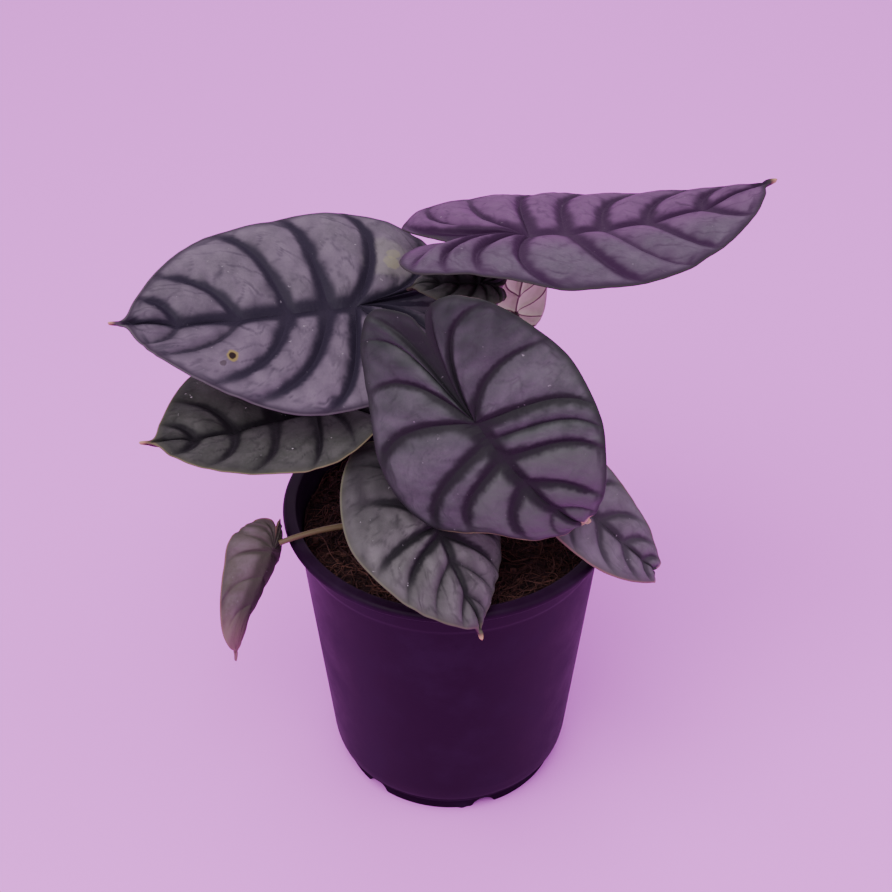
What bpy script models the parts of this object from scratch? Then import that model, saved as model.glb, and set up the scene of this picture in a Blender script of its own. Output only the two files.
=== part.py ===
# Potted silver-leaved aroid: a nursery pot with a turned-out rim, its filling of coir, a short
# rootstock and nine shield-shaped leaves, each a blade on its own stalk.
# Lengths below are in millimetres; the meshes are written in metres with +Z up.
import math
import bmesh
import bpy
import numpy as np
from mathutils import Vector

mm = 0.001

rimRadius = 60.0
rimHeight = 119.8
wallTopRadius = 55.6
wallLowRadius = 45.55
wallThickness = 1.2
footRadius = 41.4
floorHeight = 4.4
soilHeight = 107.5
bladeThickness = 0.8
seatGap = 0.35
holeDepth = 16.0
crownRadius = 5.0
crownDepth = 12.0
crownPlace = (0.0, 0.0)
potSteps = 56
drainHoles = 6
archAngles = [math.radians(angle) for angle in (-132.0, -72.0, -12.0, 48.0, 108.0, 168.0)]

# Every blade: size of its flat outline, the bends along and across it, where its stalk meets it
# (attach), which way its tip points (yaw, pitch, roll in radians), eight outline factors per side
# or ten that also shape notch and tip, the roots of its side veins as fractions of the front
# length and the outline places they end at,
# the foot of its stalk in the filling and the stalk's radius at foot and top. Optional are other
# ends of the hindmost veins (backLeft, backRight), another bow of the front veins (bow), and the
# two inner control points (via) and the end (end) of the stalk's arc.
leaves = {
    "left_large": dict(
        front=82.0, back=34.6, sinus=26.8, half=43.7, widest=3.2, tip=4.1,
        frontBend=-0.09, tipBend=-0.26, backBend=0.24, foldLeft=0.18, foldRight=0.16, foldBack=-0.04,
        curlLeft=0.35, curlRight=0.38, yaw=3.39, pitch=0.07, roll=-0.33, turn=0.28, tipTurn=-0.29,
        backTurn=0.03, twist=-0.06, backTwist=-0.04, attach=(-31.6, 17.1, 192.0),
        left=(1.0, 0.97, 0.95, 0.95, 1.02, 0.99, 0.96, 1.03),
        right=(1.0, 1.0, 1.0, 0.99, 0.97, 1.03, 1.07, 1.08),
        roots=(0.01, 0.12, 0.29, 0.5, 0.76), endsLeft=(5.7, 6.8, 7.5, 8.6, 9.1),
        endsRight=(4.82, 5.6, 6.65, 8.2, 9.0), backRight=(1.8, 2.5, 3.2),
        relief=1.5, foot=(-8.5, 6.0), stalk=(2.8, 1.7),
        via=((-9.5, 7.0, 178.0), (-23.0, 15.0, 171.0))),
    "right_large": dict(
        front=93.3, back=41.6, sinus=26.2, half=41.9, widest=5.3, tip=5.0,
        frontBend=-0.23, tipBend=-0.11, backBend=0.28, foldLeft=0.03, foldRight=0.11, foldBack=0.07,
        curlLeft=0.08, curlRight=0.34, yaw=0.20, pitch=-0.11, roll=-0.19, turn=0.27, tipTurn=0.06,
        backTurn=0.20, twist=-0.09, backTwist=0.05, attach=(24.7, 24.9, 215.2),
        left=(2.6, 1.26, 1.10, 0.98, 1.01, 1.03, 0.98, 0.95, 0.97, 1.0),
        right=(0.8, 1.24, 1.13, 0.92, 1.02, 1.07, 1.03, 0.99, 0.99, 1.0),
        roots=(0.02, 0.16, 0.3, 0.48, 0.71), endsLeft=(5.4, 6.2, 7.1, 7.9, 8.7),
        endsRight=(4.86, 5.75, 6.45, 7.0, 8.1), backRight=(2.65, 3.45, 4.0),
        relief=1.5, foot=(8.0, 9.0), stalk=(2.8, 1.7),
        via=((8.8, 10.2, 158.0), (11.0, 19.0, 202.5))),
    "front_large": dict(
        front=55.8, back=43.2, sinus=32.6, half=37.2, widest=-0.4, tip=3.9,
        frontBend=0.45, tipBend=0.45, backBend=-0.13, foldLeft=0.32, foldRight=0.0, foldBack=-0.13,
        curlLeft=0.38, curlRight=0.25, yaw=-0.61, pitch=-0.80, roll=0.93, turn=0.20, tipTurn=0.23,
        backTurn=0.29, twist=0.22, backTwist=-0.25, attach=(7.9, -43.0, 189.2),
        left=(0.96, 1.01, 1.02, 1.02, 1.02, 1.0, 1.02, 1.04),
        right=(1.07, 0.92, 0.87, 0.98, 1.03, 0.80, 0.88, 1.0),
        roots=(0.01, 0.13, 0.26, 0.46, 0.72), endsLeft=(5.85, 6.3, 6.8, 8.2, 9.0),
        endsRight=(4.94, 6.15, 6.7, 7.9, 9.0), backLeft=(1.3, 2.9, 4.3), backRight=(2.3, 3.1, 3.9),
        relief=1.5, foot=(8.0, -4.5), stalk=(2.7, 1.6),
        via=((11.0, -3.0, 172.0), (13.0, -24.0, 176.0))),
    "left_low": dict(
        front=62.2, back=23.5, sinus=18.1, half=35.0, widest=7.1, tip=4.0,
        frontBend=-0.1, tipBend=-0.35, backBend=0.13, foldLeft=0.35, foldRight=0.19, foldBack=0.14,
        curlLeft=0.19, curlRight=0.36, yaw=3.41, pitch=-0.01, roll=-0.11, turn=0.50, tipTurn=-0.42,
        backTurn=0.26, twist=-0.22, backTwist=-0.14, attach=(-43.2, -2.0, 161.5),
        left=(0.99, 0.98, 0.96, 0.98, 0.96, 0.95, 1.01, 1.05),
        right=(1.0, 1.0, 1.0, 1.01, 1.03, 1.06, 1.07, 1.07),
        roots=(0.05, 0.28, 0.51, 0.74), endsLeft=(5.6, 7.0, 8.0, 9.1),
        endsRight=(5.5, 6.7, 8.1, 9.1), relief=1.2, foot=(-11.5, -3.5), stalk=(2.3, 1.4)),
    "front_low": dict(
        front=37.4, back=33.2, sinus=18.6, half=31.3, widest=1.3, tip=3.9,
        frontBend=0.27, tipBend=0.08, backBend=0.19, foldLeft=-0.02, foldRight=0.08, foldBack=-0.01,
        curlLeft=0.45, curlRight=0.42, yaw=-1.16, pitch=-0.50, roll=-0.33, turn=0.23, tipTurn=0.09,
        backTurn=0.17, twist=-0.18, backTwist=-0.01, attach=(-4.5, -42.3, 145.0),
        left=(1.0, 1.0, 1.0, 1.0, 0.99, 0.99, 0.99, 0.99),
        right=(1.03, 1.06, 1.08, 1.07, 1.0, 1.0, 0.99, 0.98),
        bow=(0.28, 0.40, 0.5, 0.8), roots=(0.0, 0.08, 0.34, 0.66), endsLeft=(5.6, 7.0, 7.9, 8.9),
        endsRight=(5.9, 6.95, 7.8, 8.9), relief=1.1, foot=(-4.5, -10.5), stalk=(2.2, 1.3)),
    "right_low": dict(
        front=49.5, back=16.9, sinus=12.0, half=18.6, widest=4.0, tip=-3.4,
        frontBend=0.26, tipBend=0.28, backBend=0.20, foldLeft=0.31, foldRight=0.17, foldBack=0.0,
        curlLeft=0.31, curlRight=0.27, yaw=-0.46, pitch=-0.67, roll=0.12, turn=0.37, tipTurn=0.12,
        backTurn=0.10, twist=0.14, backTwist=0.0, attach=(40.1, -20.8, 141.8),
        left=(1.0, 1.01, 1.01, 1.01, 0.99, 0.93, 0.94, 1.01, 1.32, 4.0),
        right=(1.0, 1.0, 1.0, 1.0, 0.99, 0.98, 0.98, 1.0, 1.30, 3.7),
        roots=(0.08, 0.3, 0.55, 0.78), endsLeft=(5.9, 7.4, 8.3, 9.2),
        endsRight=(5.8, 7.1, 8.1, 9.1), relief=0.8, foot=(12.0, -2.0), stalk=(2.1, 1.3)),
    "back": dict(
        front=36.3, back=12.5, sinus=6.0, half=11.4, widest=1.6, tip=3.0,
        frontBend=-0.15, tipBend=-0.14, backBend=0.22, foldLeft=0.10, foldRight=0.08, foldBack=-0.03,
        curlLeft=0.43, curlRight=0.45, yaw=-1.30, pitch=1.27, roll=0.02, turn=0.24, tipTurn=0.0,
        backTurn=0.09, twist=0.03, backTwist=0.03, attach=(23.5, 51.2, 166.4),
        left=(1.01, 1.02, 1.02, 1.01, 0.99, 0.99, 0.99, 1.0),
        right=(1.0, 1.0, 0.99, 0.99, 0.98, 0.99, 1.0, 1.0),
        roots=(0.02, 0.27, 0.55), endsLeft=(6.0, 7.2, 8.5),
        endsRight=(6.0, 7.2, 8.5), relief=0.5, foot=(2.5, 14.5), stalk=(2.0, 1.2)),
    "withered": dict(
        front=41.0, back=11.4, sinus=7.9, half=14.6, widest=3.5, tip=5.0,
        frontBend=0.35, tipBend=0.39, backBend=0.21, foldLeft=-1.02, foldRight=0.19, foldBack=-0.14,
        curlLeft=0.80, curlRight=0.56, yaw=-1.99, pitch=-0.78, roll=-0.41, turn=-0.34, tipTurn=0.60,
        backTurn=-0.42, twist=-0.40, backTwist=0.07, attach=(-61.6, -27.0, 120.6),
        left=(1.01, 1.0, 0.99, 0.96, 0.96, 1.0, 1.02, 1.02),
        right=(0.97, 1.0, 1.03, 1.05, 0.99, 0.95, 0.98, 1.01),
        roots=(0.02, 0.25, 0.5), endsLeft=(5.8, 7.0, 8.3),
        endsRight=(5.8, 7.0, 8.3), relief=0.7, foot=(-14.0, -12.5), stalk=(1.5, 1.0),
        via=((-17.0, -14.0, 127.0), (-44.0, -22.0, 127.0)), end=(-59.3, -25.3, 121.9)),
    "young": dict(
        front=23.0, back=9.3, sinus=6.1, half=10.8, widest=2.0, tip=2.0,
        frontBend=0.15, tipBend=0.2, backBend=0.2, foldLeft=0.2, foldRight=0.2, foldBack=0.0,
        curlLeft=0.3, curlRight=0.3, yaw=3.12, pitch=0.05, roll=-0.2, turn=0.0, tipTurn=0.0,
        backTurn=0.0, twist=0.0, backTwist=0.0, attach=(9.6, 11.0, 205.0),
        left=(1.0,) * 8, right=(1.0,) * 8,
        roots=(0.02, 0.27, 0.55), endsLeft=(5.9, 7.1, 8.4),
        endsRight=(5.9, 7.1, 8.4), relief=0.6, foot=(1.0, 9.0), stalk=(1.8, 1.1),
        via=((-0.5, 5.5, 150.0), (11.5, 2.5, 186.0))),
}
# Outline places where the three hindmost side veins end, unless a blade has its own.
backEnds = (2.3, 3.35, 4.3)
# Shares of the way along and across at which the two bow points of a side vein lie: four for the
# veins in front of the stalk, and for each of the four a row of values for the veins that end at
# the places in backPlaces. A front vein that ends behind place 5.4 first swings backwards.
frontBow = (0.18, 0.50, 0.28, 0.88)
backPlaces = (0.0, 2.3, 3.35, 4.3)
backBow = ((0.5, 0.5, 0.6, 0.6), (0.2, 0.12, 0.10, 0.18), (0.9, 0.88, 1.12, 1.3),
           (0.5, 0.22, 0.34, 0.45))
swingShares, swingEnds = (0.32, 0.22), (5.0, 5.4)
outlineShape = (0.0, 0.10, 0.38, 0.68, 0.90, 1.0, 0.93, 0.74, 0.46, 0.21, 0.045, 0.0)
columnPlaces = (0.0, 0.13, 0.35, 0.62, 0.86, 1.0)
bulgeAcross = (0.0, 0.72, 1.0, 1.0, 0.62, 0.12)


def clearScene():
    for item in list(bpy.data.objects):
        bpy.data.objects.remove(item, do_unlink=True)
    for mesh in list(bpy.data.meshes):
        bpy.data.meshes.remove(mesh)


def newMaterial(name, color, roughness):
    material = bpy.data.materials.new(name)
    material.use_nodes = True
    shader = material.node_tree.nodes["Principled BSDF"]
    shader.inputs["Base Color"].default_value = (*color, 1.0)
    shader.inputs["Roughness"].default_value = roughness
    material.diffuse_color = (*color, 1.0)
    return material


def addObject(name, data, material, collection):
    item = bpy.data.objects.new(name, data)
    collection.objects.link(item)
    data.materials.append(material)
    return item


def outlinePlace(leaf, factors, place):
    """Point of the flat outline at a place from 0 (notch) to 11 (tip), by a smooth spline."""
    front, back, sinus, half = leaf["front"], leaf["back"], leaf["sinus"], leaf["half"]
    along = np.array([-sinus, -(sinus + 0.70 * (back - sinus)), -back, -0.84 * back, -0.45 * back,
                      leaf["widest"], 0.36 * front, 0.60 * front, 0.80 * front, 0.925 * front,
                      0.985 * front, front + leaf["tip"]])
    across = np.array(outlineShape) * half
    first = 2 if len(factors) == 8 else 1
    across[first:first + len(factors)] *= np.array(factors)
    points = np.stack([along, across], -1)
    points = np.vstack([2 * points[0] - points[1], points, 2 * points[-1] - points[-2]])
    index = np.minimum(np.floor(place).astype(int), 10)
    step = (place - index)[:, None]
    a, b, c, d = points[index], points[index + 1], points[index + 2], points[index + 3]
    return 0.5 * (2 * b + (c - a) * step + (2 * a - 5 * b + 4 * c - d) * step ** 2
                  + (3 * b - a - 3 * c + d) * step ** 3)


def bendBlade(leaf, along, across):
    """Carries flat blade places to space: the midrib is bent and turned, each side is an arc."""
    front, back, half = leaf["front"], leaf["back"], leaf["half"]
    stations = np.linspace(-1.25 * back, 1.2 * front, 300)
    ahead = np.clip(stations / front, 0, None)
    behind = np.clip(-stations / back, 0, None)
    slope = leaf["frontBend"] * ahead + leaf["tipBend"] * ahead ** 3 - leaf["backBend"] * behind
    heading = leaf["turn"] * ahead + leaf["tipTurn"] * ahead ** 3 - leaf["backTurn"] * behind
    way = np.stack([np.cos(slope) * np.cos(heading), np.cos(slope) * np.sin(heading),
                    -np.sin(slope)], -1)
    steps = np.diff(stations)[:, None]
    path = np.vstack([np.zeros(3), np.cumsum((way[1:] + way[:-1]) / 2 * steps, 0)])
    path -= np.array([np.interp(0, stations, path[:, axis]) for axis in range(3)])
    centre = np.stack([np.interp(along, stations, path[:, axis]) for axis in range(3)], -1)
    slopeHere = np.interp(along, stations, slope)
    headingHere = np.interp(along, stations, heading)
    side = np.sign(across)
    fold = np.where(across >= 0, leaf["foldLeft"], leaf["foldRight"])
    fold = fold + leaf["foldBack"] * np.clip(-along / back, 0, 1)
    curve = np.where(across >= 0, leaf["curlLeft"], leaf["curlRight"]) / half
    angle = fold - curve * np.abs(across)
    out = (np.sin(fold) - np.sin(angle)) / curve
    rise = (np.cos(angle) - np.cos(fold)) / curve
    twist = leaf["twist"] * np.clip(along / front, 0, None)
    twist = twist + leaf["backTwist"] * np.clip(along / back, None, 0)
    sideways = side * out * np.cos(twist) - rise * np.sin(twist)
    upward = side * out * np.sin(twist) + rise * np.cos(twist)
    sideAxis = np.stack([-np.sin(headingHere), np.cos(headingHere), 0 * headingHere], -1)
    tangent = np.stack([np.cos(slopeHere) * np.cos(headingHere),
                        np.cos(slopeHere) * np.sin(headingHere), -np.sin(slopeHere)], -1)
    normal = np.cross(tangent, sideAxis)
    return centre + sideways[..., None] * sideAxis + upward[..., None] * normal


def turnMatrix(leaf):
    yaw, pitch, roll = leaf["yaw"], leaf["pitch"], leaf["roll"]
    aboutUp = np.array([[math.cos(yaw), -math.sin(yaw), 0], [math.sin(yaw), math.cos(yaw), 0],
                        [0, 0, 1]])
    aboutSide = np.array([[math.cos(pitch), 0, -math.sin(pitch)], [0, 1, 0],
                          [math.sin(pitch), 0, math.cos(pitch)]])
    aboutAxis = np.array([[1, 0, 0], [0, math.cos(roll), -math.sin(roll)],
                          [0, math.sin(roll), math.cos(roll)]])
    return aboutUp @ aboutSide @ aboutAxis


def veinRows(leaf, sideName):
    """Root, two bow points and edge point of every row: whole rows are side veins, half rows crests."""
    ends = (0.0,) + leaf.get("back" + sideName, backEnds) + leaf["ends" + sideName] + (10.45, 11.0)
    tipRoot = 1.0 + leaf["tip"] / leaf["front"]
    roots = (0.0,) * 4 + leaf["roots"] + (min(0.955, tipRoot - 0.02), tipRoot)
    ends, roots = np.array(ends), np.array(roots) * leaf["front"]
    whole = np.arange(len(ends))
    rows = np.arange(2 * len(ends) - 1) / 2
    edges = outlinePlace(leaf, leaf[sideName.lower()], ends)
    isFront = ends > 4.5
    swing = isFront * np.interp(ends, swingEnds, (leaf["half"], 0.0))
    front = leaf.get("bow", frontBow)
    bows = []
    for index in (0, 1):
        along = np.where(isFront, front[2 * index], np.interp(ends, backPlaces, backBow[2 * index]))
        across = np.where(isFront, front[2 * index + 1],
                          np.interp(ends, backPlaces, backBow[2 * index + 1]))
        bow = np.stack([roots + (edges[:, 0] - roots) * along - swing * swingShares[index],
                        edges[:, 1] * across], -1)
        bows.append(np.stack([np.interp(rows, whole, bow[:, axis]) for axis in (0, 1)], -1))
    root = np.stack([np.interp(rows, whole, roots), 0 * rows], -1)
    edge = outlinePlace(leaf, leaf[sideName.lower()], np.interp(rows, whole, ends))
    crest = (np.arange(len(rows)) % 2).astype(float)
    crest[:2] = 0.0
    crest[-2:] = 0.0
    return (root, bows[0], bows[1], edge), crest


def flatRows(leaf, sideName):
    """Flat places of every row and column on one side; each row is a cubic vein line."""
    lines, crest = veinRows(leaf, sideName)
    a, b, c, d = (part[:, None, :] for part in lines)
    place = np.array(columnPlaces)[None, :, None]
    spot = ((1 - place) ** 3 * a + 3 * place * (1 - place) ** 2 * b
            + 3 * place ** 2 * (1 - place) * c + place ** 3 * d)
    lift = leaf["relief"] * crest[:, None] * np.array(bulgeAcross)[None, :]
    return spot[..., 0], spot[..., 1], lift


def bladeMesh(name, leaf):
    """Sheet of triangles through both halves of a blade, joined along the midrib."""
    places = {}
    flat = []
    faces = []
    for sideName, sign in (("Left", 1.0), ("Right", -1.0)):
        along, across, lift = flatRows(leaf, sideName)
        rows, columns = along.shape
        ids = np.zeros((rows, columns), int)
        for row in range(rows):
            for column in range(columns):
                onAxis = column == 0 or row == 0
                key = (round(along[row, column], 3), round(sign * across[row, column], 3))
                if key not in places:
                    places[key] = len(flat)
                    flat.append((along[row, column], 0.0 if onAxis else sign * across[row, column],
                                 lift[row, column]))
                ids[row, column] = places[key]
        for row in range(rows - 1):
            for column in range(columns - 1):
                a, b = ids[row, column], ids[row, column + 1]
                c, d = ids[row + 1, column + 1], ids[row + 1, column]
                # behind the first vein the other diagonal keeps both triangles flat
                halves = ((a, b, d), (b, c, d)) if row < 2 else ((a, b, c), (a, c, d))
                for corners in halves:
                    if len(set(corners)) == 3:
                        faces.append(corners if sign < 0 else corners[::-1])
    flat = np.array(flat)
    low = bendBlade(leaf, flat[:, 0], flat[:, 1])
    ahead = bendBlade(leaf, flat[:, 0] + 0.05, flat[:, 1]) - low
    aside = bendBlade(leaf, flat[:, 0], flat[:, 1] + 0.05) - low
    normal = np.cross(ahead, aside)
    normal /= np.linalg.norm(normal, axis=1)[:, None]
    spots = (low + normal * flat[:, 2:]) @ turnMatrix(leaf).T + np.array(leaf["attach"])
    mesh = bpy.data.meshes.new(name)
    mesh.from_pydata((spots * mm).tolist(), [], faces)
    mesh.validate()
    return mesh


def addBlade(name, leaf, material, collection):
    item = addObject(name, bladeMesh(name, leaf), material, collection)
    thick = item.modifiers.new("thickness", "SOLIDIFY")
    thick.thickness = bladeThickness * mm
    thick.offset = 0.0
    return item


def stalkPath(leaf):
    """Centre line of a stalk: upright in its hole, then one arc up to the underside of the blade."""
    low, top = leaf["stalk"]
    axis = turnMatrix(leaf) @ np.array([0.0, 0.0, 1.0])
    ahead = turnMatrix(leaf) @ np.array([1.0, 0.0, 0.0])
    end = np.array(leaf["attach"]) - axis * (bladeThickness / 2 + seatGap + 0.45 * top)
    foot = np.array([leaf["foot"][0], leaf["foot"][1], soilHeight + 1.0])
    rise = end[2] - foot[2]
    bend = np.array([foot[0] * 1.1, foot[1] * 1.1, foot[2] + 0.5 * rise])
    reach = 0.30 * np.linalg.norm(end - bend)
    nearTop = end - (axis * 0.8 - ahead * 0.3) * reach
    if "via" in leaf:
        bend, nearTop = (np.array(spot) for spot in leaf["via"])
    if "end" in leaf:
        end = np.array(leaf["end"])
    steps = np.linspace(0, 1, 14)[:, None]
    arc = ((1 - steps) ** 3 * foot + 3 * steps * (1 - steps) ** 2 * bend
           + 3 * steps ** 2 * (1 - steps) * nearTop + steps ** 3 * end)
    return np.vstack([foot - (0, 0, holeDepth - 1.0), arc])


def addStalk(name, leaf, material, collection):
    path = stalkPath(leaf)
    low, top = leaf["stalk"]
    curve = bpy.data.curves.new(name, "CURVE")
    curve.dimensions = "3D"
    curve.bevel_depth = low * mm
    curve.bevel_resolution = 2
    curve.use_fill_caps = True
    spline = curve.splines.new("POLY")
    spline.points.add(len(path) - 1)
    for index, (point, spot) in enumerate(zip(spline.points, path)):
        point.co = (*(spot * mm), 1.0)
        part = max(0, index - 1) / (len(path) - 2)
        point.radius = 1.0 + (top / low - 1.0) * min(1.0, part * 1.25)
    return addObject(name, curve, material, collection)


def addTurned(name, profile, steps, material, collection):
    """Solid of revolution about the pot's axis from a closed profile in the XZ plane."""
    mesh = bpy.data.meshes.new(name)
    count = len(profile)
    onAxis = profile[0][0] == 0.0
    edges = [(index, index + 1) for index in range(count - 1)]
    if not onAxis:
        edges.append((count - 1, 0))
    mesh.from_pydata([(radius * mm, 0.0, height * mm) for radius, height in profile], edges, [])
    item = addObject(name, mesh, material, collection)
    turn = item.modifiers.new("turn", "SCREW")
    turn.axis = "Z"
    turn.angle = math.tau
    turn.steps = steps
    turn.render_steps = steps
    turn.screw_offset = 0.0
    turn.use_merge_vertices = True
    turn.merge_threshold = 0.00001
    turn.use_normal_calculate = True
    return item


def addCutter(name, mesh, cutters):
    item = bpy.data.objects.new(name, mesh)
    cutters.objects.link(item)
    item.hide_render = True
    item.display_type = "WIRE"
    return item


def cut(item, cutter):
    boolean = item.modifiers.new("cut " + cutter.name, "BOOLEAN")
    boolean.operation = "DIFFERENCE"
    boolean.solver = "EXACT"
    boolean.object = cutter


def rodMesh(name, centre, axis, radius, length, sides):
    """Straight rod about a centre point along an axis."""
    mesh = bpy.data.meshes.new(name)
    work = bmesh.new()
    bmesh.ops.create_cone(work, cap_ends=True, segments=sides, radius1=radius * mm,
                          radius2=radius * mm, depth=length * mm)
    turn = Vector((0, 0, 1)).rotation_difference(Vector(axis)).to_matrix().to_4x4()
    bmesh.ops.transform(work, matrix=turn, verts=work.verts)
    bmesh.ops.translate(work, vec=Vector(centre) * mm, verts=work.verts)
    work.to_mesh(mesh)
    work.free()
    return mesh


def wallRadius(height):
    return wallLowRadius + (wallTopRadius - wallLowRadius) * (height - 14.0) / (116.8 - 14.0)


def addPot(collection, cutters):
    inner = wallThickness
    profile = [
        (55.2, 119.3), (55.8, rimHeight), (57.5, rimHeight), (59.4, rimHeight - 0.3),
        (rimRadius, rimHeight - 0.9), (rimRadius, rimHeight - 2.6), (59.5, rimHeight - 3.0),
        (56.6, 117.0), (wallTopRadius + 0.35, 116.2), (wallRadius(107.4) + 0.4, 107.4),
        (wallRadius(106.8), 106.8), (wallRadius(60.0), 60.0), (wallLowRadius, 14.0), (45.0, 10.0),
        (43.9, 7.0), (42.4, 4.8), (footRadius, 3.9), (footRadius, 0.0), (footRadius - 2.4, 0.0),
        (footRadius - 2.4, 3.0), (12.0, 3.0), (11.0, 0.0), (0.0, 0.0), (0.0, floorHeight),
        (38.0, floorHeight), (41.0, 6.2), (43.2, 10.5), (wallRadius(14.0) - inner, 14.0),
        (wallRadius(60.0) - inner, 60.0), (wallRadius(116.0) - inner, 116.0)]
    profile = profile[23:] + profile[:23]
    pot = addTurned("pot", profile, potSteps, potPlastic, collection)
    for index, angle in enumerate(archAngles):
        way = (math.cos(angle), math.sin(angle), 0.0)
        centre = (way[0] * footRadius, way[1] * footRadius, -1.2)
        arch = addCutter("arch_%d" % index, rodMesh("arch_%d" % index, centre, way, 4.6, 9.0, 16),
                         cutters)
        cut(pot, arch)
    for index in range(drainHoles):
        angle = math.tau * (index + 0.5) / drainHoles
        centre = (26.0 * math.cos(angle), 26.0 * math.sin(angle), 3.5)
        hole = addCutter("drain_%d" % index, rodMesh("drain_%d" % index, centre, (0, 0, 1), 3.2,
                                                     6.0, 16), cutters)
        cut(pot, hole)
    return pot


def addSoil(collection, cutters):
    gap = wallThickness + seatGap
    profile = [
        (0.0, floorHeight + seatGap), (37.6, floorHeight + seatGap), (40.6, 6.8), (42.7, 10.8),
        (wallRadius(14.0) - gap, 14.2), (wallRadius(60.0) - gap, 60.0),
        (wallRadius(105.5) - gap, 105.5), (51.5, soilHeight - 1.0), (44.0, soilHeight + 0.3),
        (30.0, soilHeight - 0.4), (18.0, soilHeight), (0.0, soilHeight)]
    soil = addTurned("soil", profile, 48, coir, collection)
    for name, leaf in leaves.items():
        radius = leaf["stalk"][0] + seatGap
        centre = (leaf["foot"][0], leaf["foot"][1], soilHeight + 5.0 - (holeDepth + 6.0) / 2)
        hole = addCutter("socket_" + name, rodMesh("socket_" + name, centre, (0, 0, 1), radius,
                                                   holeDepth + 6.0, 16), cutters)
        cut(soil, hole)
    centre = (crownPlace[0], crownPlace[1], soilHeight + 5.0 - (crownDepth + 6.0) / 2)
    hole = addCutter("socket_crown", rodMesh("socket_crown", centre, (0, 0, 1),
                                             crownRadius + seatGap, crownDepth + 6.0, 20), cutters)
    cut(soil, hole)
    return soil


def addCrown(collection):
    """Short rootstock: a ringed, rounded stump standing in its own hole."""
    profile = [(0.0, soilHeight - crownDepth), (crownRadius, soilHeight - crownDepth),
               (crownRadius, soilHeight + 0.6), (crownRadius - 0.5, soilHeight + 1.4),
               (crownRadius - 0.1, soilHeight + 2.6), (crownRadius - 0.7, soilHeight + 3.6),
               (crownRadius - 0.5, soilHeight + 4.6), (crownRadius - 2.0, soilHeight + 6.0),
               (0.0, soilHeight + 6.4)]
    crown = addTurned("crown", profile, 20, rootBark, collection)
    crown.location = (crownPlace[0] * mm, crownPlace[1] * mm, 0.0)
    return crown


clearScene()
plant = bpy.data.collections.new("potted_aroid")
bpy.context.scene.collection.children.link(plant)
cutters = bpy.data.collections.new("cutters")
bpy.context.scene.collection.children.link(cutters)

potPlastic = newMaterial("pot_plastic", (0.02, 0.012, 0.024), 0.35)
coir = newMaterial("coir", (0.05, 0.022, 0.02), 0.9)
rootBark = newMaterial("root_bark", (0.09, 0.05, 0.035), 0.8)
silverBlade = newMaterial("silver_blade", (0.17, 0.16, 0.2), 0.5)
greyBlade = newMaterial("grey_blade", (0.15, 0.17, 0.15), 0.5)
paleBlade = newMaterial("pale_blade", (0.62, 0.5, 0.52), 0.5)
dryBlade = newMaterial("dry_blade", (0.22, 0.17, 0.17), 0.7)
greenStalk = newMaterial("green_stalk", (0.13, 0.12, 0.08), 0.5)
dryStalk = newMaterial("dry_stalk", (0.3, 0.22, 0.12), 0.6)
bladeMaterials = {"left_large": silverBlade, "right_large": silverBlade, "front_large": silverBlade,
                  "left_low": greyBlade, "front_low": greyBlade, "right_low": greyBlade,
                  "back": paleBlade, "withered": dryBlade, "young": greyBlade}

addPot(plant, cutters)
addSoil(plant, cutters)
addCrown(plant)
for leafName, leafSizes in leaves.items():
    stalkMaterial = dryStalk if leafName == "withered" else greenStalk
    addStalk("stalk_" + leafName, leafSizes, stalkMaterial, plant)
    addBlade("blade_" + leafName, leafSizes, bladeMaterials[leafName], plant)
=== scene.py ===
import bpy, math
import numpy as np
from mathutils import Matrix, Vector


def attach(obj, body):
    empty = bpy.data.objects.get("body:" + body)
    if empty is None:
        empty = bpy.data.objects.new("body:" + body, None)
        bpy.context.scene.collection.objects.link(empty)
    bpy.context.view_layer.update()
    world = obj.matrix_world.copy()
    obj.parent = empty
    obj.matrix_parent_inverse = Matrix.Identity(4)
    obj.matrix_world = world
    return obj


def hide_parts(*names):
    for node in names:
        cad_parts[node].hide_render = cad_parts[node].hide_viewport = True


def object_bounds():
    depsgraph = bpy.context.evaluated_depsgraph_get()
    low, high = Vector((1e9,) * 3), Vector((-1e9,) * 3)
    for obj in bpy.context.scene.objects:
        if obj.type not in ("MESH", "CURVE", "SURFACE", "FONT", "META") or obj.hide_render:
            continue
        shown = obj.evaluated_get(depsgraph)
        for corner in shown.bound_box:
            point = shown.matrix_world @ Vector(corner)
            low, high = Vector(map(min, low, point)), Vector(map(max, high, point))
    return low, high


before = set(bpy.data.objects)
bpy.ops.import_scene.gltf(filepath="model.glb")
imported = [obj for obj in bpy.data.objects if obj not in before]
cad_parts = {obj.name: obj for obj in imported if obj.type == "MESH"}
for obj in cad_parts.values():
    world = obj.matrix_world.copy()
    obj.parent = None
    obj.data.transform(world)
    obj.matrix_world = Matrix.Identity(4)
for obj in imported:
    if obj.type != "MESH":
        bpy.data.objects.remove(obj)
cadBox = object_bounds()
mm = 0.001
print("frame loaded:", len(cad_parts), "nodes")

studio = dict(
    lens=72.65, eye=(-0.001476, -0.48969, 0.54153), tilt=50.98,      # degrees from straight down
    floorColor=(0.96, 0.25, 1.0), skyColor=(0.95, 0.66, 1.0), skyPower=0.85,
    softboxes=(                                                      # name, place, aim, size, power, colour
        ("overheadKey", (-0.35, -0.55, 1.25), (0, 0, 0.12), (1.1, 0.9), 19.0, (1.0, 0.95, 0.98)),
        ("rightFill", (1.1, -0.2, 0.75), (0, 0, 0.12), (0.9, 0.9), 4.0, (0.96, 0.78, 1.0)),
        ("backFill", (0.1, 1.1, 0.9), (0, 0, 0.15), (1.2, 0.8), 4.0, (0.96, 0.78, 1.0))))


def addObject(name, data):
    thing = bpy.data.objects.new(name, data)
    bpy.context.scene.collection.objects.link(thing)
    return thing


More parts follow.
